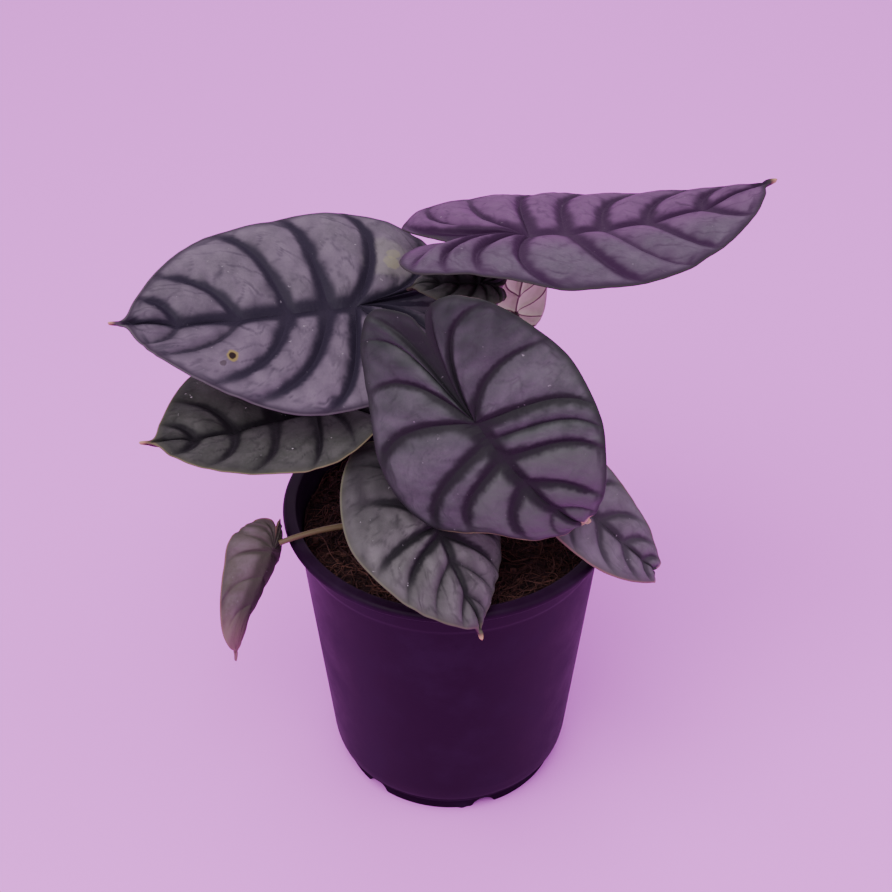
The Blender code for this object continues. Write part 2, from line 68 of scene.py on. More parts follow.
def addCamera():
    data = bpy.data.cameras.new("camera")
    data.lens, data.sensor_width = studio["lens"], 36.0
    data.clip_start, data.clip_end = 0.01, 50.0
    camera = addObject("camera", data)
    camera.location = studio["eye"]
    camera.rotation_euler = (math.radians(studio["tilt"]), 0.0, 0.0)
    bpy.context.scene.camera = camera


def addSoftbox(name, place, aim, size, power, color):
    # An area lamp, tilted from straight down and then turned about the upright towards its aim.
    data = bpy.data.lights.new(name, "AREA")
    data.shape, data.size, data.size_y = "RECTANGLE", size[0], size[1]
    data.energy, data.color = power, color
    lamp = addObject(name, data)
    lamp.location = place
    way = np.array(aim) - np.array(place)
    flat = math.hypot(way[0], way[1])
    lamp.rotation_euler = (math.atan2(flat, -way[2]), 0.0, math.atan2(way[1], way[0]) - math.pi / 2)


addCamera()
for softbox in studio["softboxes"]:
    addSoftbox(*softbox)
world = bpy.data.worlds.new("studioAir")
bpy.context.scene.world = world
world.use_nodes = True
air = world.node_tree.nodes["Background"].inputs
air["Color"].default_value = (*studio["skyColor"], 1.0)
air["Strength"].default_value = studio["skyPower"]
print("camera and lights set")


def gridFaces(rows, columns, offset=0, closeColumns=False):
    # Quads between neighbouring rows and columns of a grid numbered row by row.
    row, column = np.meshgrid(np.arange(rows - 1), np.arange(columns if closeColumns else columns - 1),
                              indexing="ij")
    after = (column + 1) % columns
    a, b = row * columns + column, row * columns + after
    return np.stack([a, b, b + columns, a + columns], -1).reshape(-1, 4) + offset


def seamFaces(rows, columns, offset=0):
    # Quads from the last row of a grid closed along its columns back to the first.
    faces = gridFaces(2, columns, closeColumns=True)
    return np.where(faces < columns, faces + (rows - 1) * columns, faces - columns) + offset


def meshFrom(name, spots, faces, attributes):
    # Mesh from metre positions and lists of corners; attributes are per-vertex floats or vectors.
    mesh = bpy.data.meshes.new(name)
    corners = faces if isinstance(faces, list) else faces.tolist()
    mesh.from_pydata(np.asarray(spots, float).tolist(), [], corners)
    for label, values in attributes.items():
        values = np.asarray(values, np.float32)
        flat = values.ndim == 1
        layer = mesh.attributes.new(label, "FLOAT" if flat else "FLOAT_VECTOR", "POINT")
        layer.data.foreach_set("value" if flat else "vector", values.ravel())
    mesh.polygons.foreach_set("use_smooth", np.ones(len(mesh.polygons), bool))
    mesh.update()
    return mesh


def addPiece(name, spots, faces, material, slotName, node=None, **attributes):
    # One piece from millimetre positions. It stays with the plant's only body.
    mesh = meshFrom(name, spots * mm, faces, attributes)
    piece = addObject(name, mesh)
    mesh.materials.append(material)
    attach(piece, "root")
    if node:
        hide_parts(node)


def smoothStep(low, high, value):
    # 0 below low, 1 above high, with a cubic ease between.
    share = np.clip((value - low) / (high - low), 0.0, 1.0)
    return share * share * (3.0 - 2.0 * share)


def ripple(x, y, seed, waves=6, low=0.05, high=0.35):
    # Sum of sine waves in seeded directions, about -1 to 1; x and y in millimetres.
    rng = np.random.default_rng(seed)
    total = np.zeros(np.shape(x))
    for turn, pace, phase in zip(rng.uniform(0, math.tau, waves), rng.uniform(low, high, waves),
                                 rng.uniform(0, math.tau, waves)):
        total = total + np.sin((x * math.cos(turn) + y * math.sin(turn)) * pace * math.tau + phase)
    return total / waves * 1.6


def evenAngles(count):
    # Evenly spaced directions of one full turn, from 0.
    return np.linspace(0, math.tau, count, endpoint=False)


def unitAlong(vectors):
    # Each vector over its length, along the last axis.
    return vectors / (np.linalg.norm(vectors, axis=-1, keepdims=True) + 1e-9)


def newMaterial(name, roughness=0.5, gloss=0.5, color=None):
    material = bpy.data.materials.new(name)
    material.use_nodes = True
    shader = material.node_tree.nodes["Principled BSDF"]
    shader.inputs["Roughness"].default_value = roughness
    shader.inputs["Specular IOR Level"].default_value = gloss
    if color:
        shader.inputs["Base Color"].default_value = (*color, 1.0)
    return material, material.node_tree, shader


def feed(tree, socket, value):
    # Links a socket to another one, or sets it to a plain value. Most of the functions below each
    # add one node to the tree and take either.
    if isinstance(value, bpy.types.NodeSocket):
        tree.links.new(value, socket)
    elif socket.type == "RGBA":
        socket.default_value = (*value, 1.0)
    else:
        socket.default_value = value


def mixColors(tree, share, first, second):
    node = tree.nodes.new("ShaderNodeMix")
    node.data_type = "RGBA"
    for index, value in ((0, share), (6, first), (7, second)):      # its colour sockets are 6 and 7
        feed(tree, node.inputs[index], value)
    return node.outputs[2]


def calculate(tree, operation, first, second, clamp=False):
    node = tree.nodes.new("ShaderNodeMath")
    node.operation, node.use_clamp = operation, clamp
    feed(tree, node.inputs[0], first)
    feed(tree, node.inputs[1], second)
    return node.outputs[0]


def strayNode(tree, grain, size):
    # Noise less its mean of one half, times a size.
    return calculate(tree, "MULTIPLY", calculate(tree, "SUBTRACT", grain, 0.5), size)


def vectorNode(tree, operation, first, second=(0.0, 0.0, 0.0)):
    node = tree.nodes.new("ShaderNodeVectorMath")
    node.operation = operation
    feed(tree, node.inputs[0], first)
    node.inputs[1].default_value = second
    return node.outputs


def rangeNode(tree, value, fromLow, fromHigh, toLow=0.0, toHigh=1.0):
    node = tree.nodes.new("ShaderNodeMapRange")
    node.interpolation_type = "SMOOTHSTEP"
    for label, number in (("Value", value), ("From Min", fromLow), ("From Max", fromHigh), ("To Min", toLow),
                          ("To Max", toHigh)):
        feed(tree, node.inputs[label], number)
    return node.outputs["Result"]


def noiseNode(tree, place, scale, detail, rough):
    node = tree.nodes.new("ShaderNodeTexNoise")
    for label, value in (("Vector", place), ("Scale", scale), ("Detail", detail), ("Roughness", rough)):
        feed(tree, node.inputs[label], value)
    return node.outputs["Fac"]


def objectPlace(tree):
    return tree.nodes.new("ShaderNodeTexCoord").outputs["Object"]


def attributeNode(tree, label, output):
    node = tree.nodes.new("ShaderNodeAttribute")
    node.attribute_name = label
    return node.outputs[output]


def splitVector(tree, vector):
    node = tree.nodes.new("ShaderNodeSeparateXYZ")
    tree.links.new(vector, node.inputs[0])
    return node.outputs


def bumpInto(tree, shader, height, strength, distance):
    node = tree.nodes.new("ShaderNodeBump")
    for label, value in (("Strength", strength), ("Distance", distance), ("Height", height)):
        feed(tree, node.inputs[label], value)
    tree.links.new(node.outputs["Normal"], shader.inputs["Normal"])


floorMesh = meshFrom("floor", [(-4, -4, 0), (4, -4, 0), (4, 4, 0), (-4, 4, 0)], [(0, 1, 2, 3)], {})
floorMesh.materials.append(newMaterial("paleFloor", 0.85, color=studio["floorColor"])[0])
floor = addObject("floor", floorMesh)


# Every blade in millimetres and radians, its numbers in the order of leafParts: the size of its flat
# outline, its bends along and across, and its aim. Then where its stalk meets it (attach), eight or
# ten outline factors per side, the roots of its side veins as fractions of the front length, and the
# outline places where they end. A stalk stands at foot, has a low and a top radius, and may pass via
# two bend points.
leaves = {
    "left_large": dict(
        size=(82.0, 34.6, 26.8, 43.7, 3.2, 4.1), bend=(-0.09, -0.26, 0.24), fold=(0.18, 0.16, -0.04),
        curl=(0.35, 0.38), aim=(3.39, 0.07, -0.33), sway=(0.28, -0.29, 0.03), wring=(-0.06, -0.04),
        attach=(-31.6, 17.1, 192.0), left=(1.0, 0.97, 0.95, 0.95, 1.02, 0.99, 0.96, 1.03),
        right=(1.0, 1.0, 1.0, 0.99, 0.97, 1.03, 1.07, 1.08), roots=(0.01, 0.12, 0.29, 0.5, 0.76),
        endsLeft=(5.7, 6.8, 7.5, 8.6, 9.1), endsRight=(4.82, 5.6, 6.65, 8.2, 9.0),
        backRight=(1.8, 2.5, 3.2), relief=1.5, foot=(-8.5, 6.0), stalk=(2.8, 1.7),
        via=((-9.5, 7.0, 178.0), (-23.0, 15.0, 171.0))),
    "right_large": dict(
        size=(93.3, 41.6, 26.2, 41.9, 5.3, 5.0), bend=(-0.23, -0.11, 0.28), fold=(0.03, 0.11, 0.07),
        curl=(0.08, 0.34), aim=(0.20, -0.11, -0.19), sway=(0.27, 0.06, 0.20), wring=(-0.09, 0.05),
        attach=(24.7, 24.9, 215.2), left=(2.6, 1.26, 1.10, 0.98, 1.01, 1.03, 0.98, 0.95, 0.97, 1.0),
        right=(0.8, 1.24, 1.13, 0.92, 1.02, 1.07, 1.03, 0.99, 0.99, 1.0),
        roots=(0.02, 0.16, 0.3, 0.48, 0.71), endsLeft=(5.4, 6.2, 7.1, 7.9, 8.7),
        endsRight=(4.86, 5.75, 6.45, 7.0, 8.1), backRight=(2.65, 3.45, 4.0), relief=1.5, foot=(8.0, 9.0),
        stalk=(2.8, 1.7), via=((8.8, 10.2, 158.0), (11.0, 19.0, 202.5))),
    "front_large": dict(
        size=(55.8, 43.2, 32.6, 37.2, -0.4, 3.9), bend=(0.45, 0.45, -0.13), fold=(0.32, 0.0, -0.13),
        curl=(0.38, 0.25), aim=(-0.61, -0.80, 0.93), sway=(0.20, 0.23, 0.29), wring=(0.22, -0.25),
        attach=(7.9, -43.0, 189.2), left=(0.96, 1.01, 1.02, 1.02, 1.02, 1.0, 1.02, 1.04),
        right=(1.07, 0.92, 0.87, 0.98, 1.03, 0.80, 0.88, 1.0), roots=(0.01, 0.13, 0.26, 0.46, 0.72),
        endsLeft=(5.85, 6.3, 6.8, 8.2, 9.0), endsRight=(4.94, 6.15, 6.7, 7.9, 9.0),
        backLeft=(1.3, 2.9, 4.3), backRight=(2.3, 3.1, 3.9), relief=1.5, foot=(8.0, -4.5),
        stalk=(2.7, 1.6), via=((11.0, -3.0, 172.0), (13.0, -24.0, 176.0))),
    "left_low": dict(
        size=(62.2, 23.5, 18.1, 35.0, 7.1, 4.0), bend=(-0.1, -0.35, 0.13), fold=(0.35, 0.19, 0.14),
        curl=(0.19, 0.36), aim=(3.41, -0.01, -0.11), sway=(0.50, -0.42, 0.26), wring=(-0.22, -0.14),
        attach=(-43.2, -2.0, 161.5), left=(0.99, 0.98, 0.96, 0.98, 0.96, 0.95, 1.01, 1.05),
        right=(1.0, 1.0, 1.0, 1.01, 1.03, 1.06, 1.07, 1.07), roots=(0.05, 0.28, 0.51, 0.74),
        endsLeft=(5.6, 7.0, 8.0, 9.1), endsRight=(5.5, 6.7, 8.1, 9.1), relief=1.2, foot=(-11.5, -3.5),
        stalk=(2.3, 1.4)),
    "front_low": dict(
        size=(37.4, 33.2, 18.6, 31.3, 1.3, 3.9), bend=(0.27, 0.08, 0.19), fold=(-0.02, 0.08, -0.01),
        curl=(0.45, 0.42), aim=(-1.16, -0.50, -0.33), sway=(0.23, 0.09, 0.17), wring=(-0.18, -0.01),
        attach=(-4.5, -42.3, 145.0), left=(1.0, 1.0, 1.0, 1.0, 0.99, 0.99, 0.99, 0.99),
        right=(1.03, 1.06, 1.08, 1.07, 1.0, 1.0, 0.99, 0.98), bow=(0.28, 0.40, 0.5, 0.8),
        roots=(0.0, 0.08, 0.34, 0.66), endsLeft=(5.6, 7.0, 7.9, 8.9), endsRight=(5.9, 6.95, 7.8, 8.9),
        relief=1.1, foot=(-4.5, -10.5), stalk=(2.2, 1.3)),
    "right_low": dict(
        size=(49.5, 16.9, 12.0, 18.6, 4.0, -3.4), bend=(0.26, 0.28, 0.20), fold=(0.31, 0.17, 0.0),
        curl=(0.31, 0.27), aim=(-0.46, -0.67, 0.12), sway=(0.37, 0.12, 0.10), wring=(0.14, 0.0),
        attach=(40.1, -20.8, 141.8), left=(1.0, 1.01, 1.01, 1.01, 0.99, 0.93, 0.94, 1.01, 1.32, 4.0),
        right=(1.0, 1.0, 1.0, 1.0, 0.99, 0.98, 0.98, 1.0, 1.30, 3.7), roots=(0.08, 0.3, 0.55, 0.78),
        endsLeft=(5.9, 7.4, 8.3, 9.2), endsRight=(5.8, 7.1, 8.1, 9.1), relief=0.8, foot=(12.0, -2.0),
        stalk=(2.1, 1.3)),
    "back": dict(
        size=(36.3, 12.5, 6.0, 11.4, 1.6, 3.0), bend=(-0.15, -0.14, 0.22), fold=(0.10, 0.08, -0.03),
        curl=(0.43, 0.45), aim=(-1.30, 1.27, 0.02), sway=(0.24, 0.0, 0.09), wring=(0.03, 0.03),
        attach=(23.5, 51.2, 166.4), left=(1.01, 1.02, 1.02, 1.01, 0.99, 0.99, 0.99, 1.0),
        right=(1.0, 1.0, 0.99, 0.99, 0.98, 0.99, 1.0, 1.0), roots=(0.02, 0.27, 0.55),
        endsLeft=(6.0, 7.2, 8.5), endsRight=(6.0, 7.2, 8.5), relief=0.5, foot=(2.5, 14.5), stalk=(2.0, 1.2)),
    "withered": dict(
        size=(41.0, 11.4, 7.9, 14.6, 3.5, 5.0), bend=(0.35, 0.39, 0.21), fold=(-1.02, 0.19, -0.14),
        curl=(0.80, 0.56), aim=(-1.99, -0.78, -0.41), sway=(-0.34, 0.60, -0.42), wring=(-0.40, 0.07),
        attach=(-61.6, -27.0, 120.6), left=(1.01, 1.0, 0.99, 0.96, 0.96, 1.0, 1.02, 1.02),
        right=(0.97, 1.0, 1.03, 1.05, 0.99, 0.95, 0.98, 1.01), roots=(0.02, 0.25, 0.5),
        endsLeft=(5.8, 7.0, 8.3), endsRight=(5.8, 7.0, 8.3), relief=0.7, foot=(-14.0, -12.5),
        stalk=(1.5, 1.0), via=((-17.0, -14.0, 127.0), (-44.0, -22.0, 127.0)), end=(-59.3, -25.3, 121.9)),
    "young": dict(
        size=(23.0, 9.3, 6.1, 10.8, 2.0, 2.0), bend=(0.15, 0.2, 0.2), fold=(0.2, 0.2, 0.0),
        curl=(0.3, 0.3), aim=(3.12, 0.05, -0.2), sway=(0.0, 0.0, 0.0), wring=(0.0, 0.0),
        attach=(9.6, 11.0, 205.0), left=(1.0,) * 8, right=(1.0,) * 8, roots=(0.02, 0.27, 0.55),
        endsLeft=(5.9, 7.1, 8.4), endsRight=(5.9, 7.1, 8.4), relief=0.6, foot=(1.0, 9.0), stalk=(1.8, 1.1),
        via=((-0.5, 5.5, 150.0), (11.5, 2.5, 186.0))),
}
leafParts = dict(
    size=("front", "back", "sinus", "half", "widest", "tip"), bend=("frontBend", "tipBend", "backBend"),
    fold=("foldLeft", "foldRight", "foldBack"), curl=("curlLeft", "curlRight"), aim=("yaw", "pitch", "roll"),
    sway=("turn", "tipTurn", "backTurn"), wring=("twist", "backTwist"))
for leaf in leaves.values():
    for part, names in leafParts.items():
        leaf.update(zip(names, leaf.pop(part)))
backEnds = (2.3, 3.35, 4.3)      # outline places of the three hindmost veins
# Shares of the way along and across at which the two bow points of a vein lie, for the front veins,
# and for those that end at outline places 0, 2.3, 3.35 and 4.3. A front vein that ends behind
# outline place 5.4 first swings backwards, by shares of the half width.
vein = dict(bow=(0.18, 0.50, 0.28, 0.88), swing=(0.32, 0.22), swingEnds=(5.0, 5.4),
            backBow=((0.5, 0.5, 0.6, 0.6), (0.2, 0.12, 0.10, 0.18), (0.9, 0.88, 1.12, 1.3),
                     (0.5, 0.22, 0.34, 0.45)))
outlineShape = (0.0, 0.10, 0.38, 0.68, 0.90, 1.0, 0.93, 0.74, 0.46, 0.21, 0.045, 0.0)
soilHeight, holeDepth, bladeThickness, seatGap = 107.5, 16.0, 0.8, 0.35
rimBand = 0.95                   # width of a blade's rounded edge


def outlinePlace(leaf, factors, place):
    # Point of the flat outline at a place from 0 (notch) to 11 (tip): a spline through twelve points.
    front, back, sinus, half = leaf["front"], leaf["back"], leaf["sinus"], leaf["half"]
    along = np.array([-sinus, -(sinus + 0.70 * (back - sinus)), -back, -0.84 * back, -0.45 * back,
                      leaf["widest"], 0.36 * front, 0.60 * front, 0.80 * front, 0.925 * front,
                      0.985 * front, front + leaf["tip"]])
    across = np.array(outlineShape) * half
    first = 2 if len(factors) == 8 else 1
    across[first:first + len(factors)] *= np.array(factors)
    points = np.stack([along, across], -1)
    points = np.vstack([2 * points[0] - points[1], points, 2 * points[-1] - points[-2]])
    index = np.minimum(np.floor(place).astype(int), 10)
    step = (place - index)[:, None]
    a, b, c, d = points[index], points[index + 1], points[index + 2], points[index + 3]
    return 0.5 * (2 * b + (c - a) * step + (2 * a - 5 * b + 4 * c - d) * step ** 2
                  + (3 * b - a - 3 * c + d) * step ** 3)


def easedRamp(value, width=6.0):
    # 0 for negative values and the value itself for positive ones, with a parabola between.
    return np.where(np.abs(value) < width, (value + width) ** 2 / (4 * width), np.clip(value, 0, None))


def bendBlade(leaf, along, across):
    # Carries flat places to space: the midrib is bent and turned, each side of it is an arc.
    front, back, half = leaf["front"], leaf["back"], leaf["half"]
    stations = np.linspace(-1.25 * back, 1.2 * front, 300)
    ahead = np.clip(stations / front, 0, None)
    behind = np.clip(-stations / back, 0, None)
    slope = leaf["frontBend"] * ahead + leaf["tipBend"] * ahead ** 3 - leaf["backBend"] * behind
    heading = leaf["turn"] * ahead + leaf["tipTurn"] * ahead ** 3 - leaf["backTurn"] * behind
    way = np.stack([np.cos(slope) * np.cos(heading), np.cos(slope) * np.sin(heading),
                    -np.sin(slope)], -1)
    steps = np.diff(stations)[:, None]
    path = np.vstack([np.zeros(3), np.cumsum((way[1:] + way[:-1]) / 2 * steps, 0)])
    path -= np.array([np.interp(0, stations, path[:, axis]) for axis in range(3)])
    centre = np.stack([np.interp(along, stations, path[:, axis]) for axis in range(3)], -1)
    slopeHere = np.interp(along, stations, slope)
    headingHere = np.interp(along, stations, heading)
    side = np.sign(across)
    fold = np.where(across >= 0, leaf["foldLeft"], leaf["foldRight"])
    fold = fold + leaf["foldBack"] * np.minimum(easedRamp(-along) / back, 1)
    curve = np.where(across >= 0, leaf["curlLeft"], leaf["curlRight"]) / half
    angle = fold - curve * np.abs(across)
    out = (np.sin(fold) - np.sin(angle)) / curve
    rise = (np.cos(angle) - np.cos(fold)) / curve
    twist = leaf["twist"] * easedRamp(along) / front - leaf["backTwist"] * easedRamp(-along) / back
    sideways = side * out * np.cos(twist) - rise * np.sin(twist)
    upward = side * out * np.sin(twist) + rise * np.cos(twist)
    sideAxis = np.stack([-np.sin(headingHere), np.cos(headingHere), 0 * headingHere], -1)
    tangent = np.stack([np.cos(slopeHere) * np.cos(headingHere),
                        np.cos(slopeHere) * np.sin(headingHere), -np.sin(slopeHere)], -1)
    normal = np.cross(tangent, sideAxis)
    return centre + sideways[..., None] * sideAxis + upward[..., None] * normal


def turnMatrix(leaf):
    # Roll about the blade's length, then pitch about its side, then yaw about the upright.
    yaw, pitch, roll = leaf["yaw"], leaf["pitch"], leaf["roll"]
    aboutUp = np.array([[math.cos(yaw), -math.sin(yaw), 0], [math.sin(yaw), math.cos(yaw), 0],
                        [0, 0, 1]])
    aboutSide = np.array([[math.cos(pitch), 0, -math.sin(pitch)], [0, 1, 0],
                          [math.sin(pitch), 0, math.cos(pitch)]])
    aboutAxis = np.array([[1, 0, 0], [0, math.cos(roll), -math.sin(roll)],
                          [0, math.sin(roll), math.cos(roll)]])
    return aboutUp @ aboutSide @ aboutAxis


def veinLines(leaf, sideName, rows):
    # Root, two bow points and edge point of the line at every row: whole rows are side veins, and the
    # bow points of half rows are halfway between their neighbours'. A vein leaves the midrib steeply
    # and sweeps towards the tip near the edge; the hindmost ones fan out from the stalk.
    ends = np.array((0.0,) + leaf.get("back" + sideName, backEnds) + leaf["ends" + sideName] + (10.45, 11.0))
    tipRoot = 1.0 + leaf["tip"] / leaf["front"]
    roots = np.array((0.0,) * 4 + tuple(leaf["roots"]) + (min(0.955, tipRoot - 0.02), tipRoot))
    whole = np.arange(len(ends))
    rootAlong = roots * leaf["front"]
    edgeWhole = outlinePlace(leaf, leaf[sideName.lower()], ends)
    isFront = ends > 4.5
    back = [np.interp(ends, (0.0, 2.3, 3.35, 4.3), values) for values in vein["backBow"]]
    front = leaf.get("bow", vein["bow"])
    gap = edgeWhole[:, 0] - rootAlong
    swing = isFront * np.interp(ends, vein["swingEnds"], (leaf["half"], 0.0))
    bows = []
    for i in (0, 1):
        bowAlong = rootAlong + gap * np.where(isFront, front[2 * i], back[2 * i]) - swing * vein["swing"][i]
        bowAcross = edgeWhole[:, 1] * np.where(isFront, front[2 * i + 1], back[2 * i + 1])
        bows.append(np.stack([bowAlong, bowAcross], -1))
    edge = outlinePlace(leaf, leaf[sideName.lower()], np.interp(rows, whole, ends))
    bows = [np.stack([np.interp(rows, whole, bow[:, axis]) for axis in (0, 1)], -1) for bow in bows]
    root = np.stack([np.interp(rows, whole, rootAlong), 0 * rows], -1)
    return root, bows[0], bows[1], edge


def lineSpot(lines, share):
    # Cubic curve root-bow-bow-edge at a share from 0 (midrib) to 1 (edge), and its rate of change.
    a, b, c, d = (part[:, None, :] for part in lines)
    t = share[..., None]
    spot = (1 - t) ** 3 * a + 3 * t * (1 - t) ** 2 * b + 3 * t ** 2 * (1 - t) * c + t ** 3 * d
    rate = 3 * (1 - t) ** 2 * (b - a) + 6 * t * (1 - t) * (c - b) + 3 * t ** 2 * (d - c)
    return spot, rate


def leafRows(leaf, step):
    # Rows close enough that neighbours lie about a step apart on either side.
    last = len(leaf["roots"]) + 5
    half = np.arange(2 * last + 1) / 2
    share = np.tile(np.array([0.4, 0.8, 1.0]), (len(half), 1))
    gap = np.max([np.linalg.norm(np.diff(lineSpot(veinLines(leaf, side, half), share)[0], axis=0),
                                 axis=-1).max(1) for side in ("Left", "Right")], 0)
    counts = np.maximum(4, np.ceil(gap / step).astype(int))
    return np.concatenate([np.linspace(a, a + 0.5, n, endpoint=False) for a, n in zip(half, counts)]
                          + [[last]])


def leafSheet(leaf, sideName, rows, columns):
    # One half of a blade on a grid of rows by columns: flat places, and for each of them the distance
    # to the nearest side vein, to the midrib and to the edge in millimetres. The columns close up
    # towards the edge so that its rounding has room.
    lines = veinLines(leaf, sideName, rows)
    reach = np.linalg.norm(lines[-1] - lines[0], axis=1)[:, None]
    rim = np.array((rimBand, 0.55, 0.25, 0.07, 0.0))        # millimetres from the edge
    rimShare = 1.0 - rim[None, :] / np.maximum(1.6 * reach, 3.2)
    inner = np.linspace(0, 1, columns - len(rim) + 1)[None, :-1] * rimShare[:, :1]
    share = np.hstack([inner, rimShare])
    flat, alongShare = lineSpot(lines, share)
    before, after = np.clip(rows - 0.01, 0, rows[-1]), np.clip(rows + 0.01, 0, rows[-1])
    alongRow = (lineSpot(veinLines(leaf, sideName, after), share)[0]
                - lineSpot(veinLines(leaf, sideName, before), share)[0]) / (after - before)[:, None, None]
    area = np.abs(alongRow[..., 0] * alongShare[..., 1] - alongRow[..., 1] * alongShare[..., 0])
    pace = np.linalg.norm(alongShare, axis=-1) + 1e-6
    spacing = area / pace
    part = rows - np.floor(rows)
    part[-1] = 1.0
    sideways = np.minimum(part, 1 - part)[:, None] * spacing
    toEdge = (1 - share) * area[:, -1:] / (np.linalg.norm(alongRow[:, -1:], axis=-1) + 1e-6)
    toEdge[-1] = 0.0
    run = np.cumsum(np.hstack([0 * share[:, :1], np.linalg.norm(np.diff(flat, axis=1), axis=-1)]), 1)
    return dict(flat=flat, share=share, part=part[:, None], sideways=sideways, spacing=spacing, toEdge=toEdge,
                run=run, rows=rows[:, None])


def quiltLift(leaf, sheet, look, marks):
    # Height in millimetres above the bent sheet: each panel between two veins is a dome, less a groove
    # along vein and midrib, plus grain, twigs and a wavy edge.
    share, part, rows = (sheet[key] for key in ("share", "part", "rows"))
    x, y = sheet["flat"][..., 0], np.abs(sheet["flat"][..., 1])
    bulge = np.interp(share, (0.0, 0.05, 0.15, 0.35, 0.65, 0.88, 1.0), (0.0, 0.4, 0.8, 1.0, 1.0, 0.55, 0.1))
    dome = (1.0 - np.abs(2 * part - 1.0) ** 2.2) * smoothStep(0.9, 1.25, rows)
    lift = leaf["relief"] * look["puff"] * dome * bulge * (0.3 + 0.7 * marks["tipFade"])
    groove = 0.34 * np.exp(-(sheet["sideways"] / (0.6 * marks["wide"] + 0.2)) ** 2) * (1 - share) \
        + 0.45 * np.exp(-(y / (0.6 * marks["ribWide"] + 0.2)) ** 2) * (x > 0)
    lift = lift - groove - 0.12 * marks["twig"] + 0.12 * marks["grain"] * smoothStep(0.1, 0.5, share)
    edgeWave = look["edgeWave"] * ripple(rows * 9.0 + 0 * x, 0 * x, look["seed"] + 2, 5, 0.05, 0.2)
    return lift + edgeWave * smoothStep(0.6, 1.0, share) * marks["tipFade"] * smoothStep(0.0, 0.8, rows)


def leafFields(leaf, sheet, look, sideName):
    # Height of the quilted surface above the bent sheet, its thickness, and the shades of its veins,
    # twigs and hem from 0 to 1, with the painted shade of its hollows.
    share, part, rows, sideways, run = (sheet[key] for key in ("share", "part", "rows", "sideways", "run"))
    toEdge, seed = sheet["toEdge"], look["seed"]
    x, aside = sheet["flat"][..., 0], sheet["flat"][..., 1]
    y = np.abs(aside)
    last = len(leaf["roots"]) + 5
    grain, fineGrain = ripple(x, aside, seed, 7, 0.06, 0.2), ripple(x, aside, seed + 1, 9, 0.3, 0.7)
    tipFade = smoothStep(last - 0.2, last - 1.6, rows)
    # veins: widest where they leave the midrib, narrower towards the edge and gone before it
    wide = look["veinWidth"] * (0.95 - 0.4 * share + 0.7 * np.exp(-run / 4.0)) * (0.45 + 0.55 * tipFade)
    nearest = np.rint(rows).astype(int)
    gain = np.ones(last + 1)
    gain[list(look.get("faint" + sideName, ()))] = 0.4
    byRow = np.interp(rows, (0, 3, 4, last), (0.5, look["backVein"], 1.0, 0.6))
    wide = wide * gain[nearest] * (1 + 0.22 * grain) * byRow
    waver = sideways + 0.3 * fineGrain * smoothStep(0.05, 0.3, share)
    sideShade = 1 - smoothStep(0.12 * wide, 1.3 * wide, waver)
    sideShade = sideShade * (1 - look["veinFade"] * smoothStep(look["fadeFrom"], 1.0, share)) \
        * (0.4 + 0.6 * gain[nearest])
    ahead = np.clip(x / (leaf["front"] + leaf["tip"]), 0, 1)
    ribWide = look["ribWidth"] * np.interp(ahead, (0.0, 0.15, 0.5, 0.85, 1.0), look["ribTaper"])
    ribShade = (1 - smoothStep(0.3 * ribWide, 1.3 * ribWide, y + 0.15 * fineGrain)) * smoothStep(-0.5, 1.5, x)
    hub = 1 - smoothStep(0.35, 1.0, np.hypot(x, 1.2 * y) / (look["ribWidth"] * 1.6))
    wedge = look["wedge"] * smoothStep(1.3, 0.7, rows) * (1 - 0.6 * smoothStep(0.7, 1.0, share))
    loop = look["loop"] * (1 - smoothStep(0.3, 1.5, np.abs(toEdge - 2.4 - 0.7 * grain))) \
        * smoothStep(0.75, 0.05, part) * tipFade * smoothStep(1.0, 2.0, rows)
    shade = np.maximum.reduce([sideShade, ribShade, hub, wedge, loop])
    # twigs: slanting lines between two side veins, which lean outwards and meet on the crest
    turns = (run - 0.9 * sideways + 1.6 * grain + 0.3 * fineGrain) / look["twigPitch"]
    toTwig = np.abs((turns + 0.37 * np.floor(rows)) % 1.0 - 0.5) * look["twigPitch"]
    toCrest = np.abs(part - 0.5 + 0.12 * np.sin(turns * math.tau)) * sheet["spacing"]
    twig = np.maximum(1 - smoothStep(0.1, 0.95, toTwig), 0.75 * (1 - smoothStep(0.1, 0.9, toCrest)))
    twig = twig * smoothStep(0.5, 2.2, toEdge) * smoothStep(0.9, 1.3, rows)
    twig = twig * np.clip(0.6 + 0.5 * ripple(x, aside, seed + 3, 6, 0.03, 0.12), 0, 1)
    # painted shade of the quilted hollows: beside veins and midrib, along the edge, towards the notch
    hollow = np.maximum.reduce([
        np.exp(-sideways / look["hollow"]) * (1 - 0.3 * share),
        np.exp(-np.maximum(y - 0.3 * ribWide, 0) / look["hollow"]) * (x > 0), 0.8 * np.exp(-toEdge / 2.2),
        look["backPaintedShade"] * smoothStep(look["backShadeFrom"] * leaf["front"], -0.9 * leaf["back"], x)])
    hollow = np.clip(hollow + 0.18 * grain, 0, 1)
    marks = dict(tipFade=tipFade, wide=wide, ribWide=ribWide, twig=twig, grain=grain)
    lift = quiltLift(leaf, sheet, look, marks)
    thick = bladeThickness * (0.82 + 0.5 * np.exp(-(sideways / 0.8) ** 2) * (1 - share)
                              + 0.7 * np.exp(-(y / 1.3) ** 2) * (x > -1))
    rounding = np.sqrt(np.clip(1 - (1 - np.clip(toEdge / rimBand, 0, 1)) ** 2, 0, 1))
    hem = smoothStep(*look["hemFrom"][sideName], rows) if "hemFrom" in look else 1.0
    return lift, thick * rounding, shade, twig, hollow, hem * np.ones_like(x)


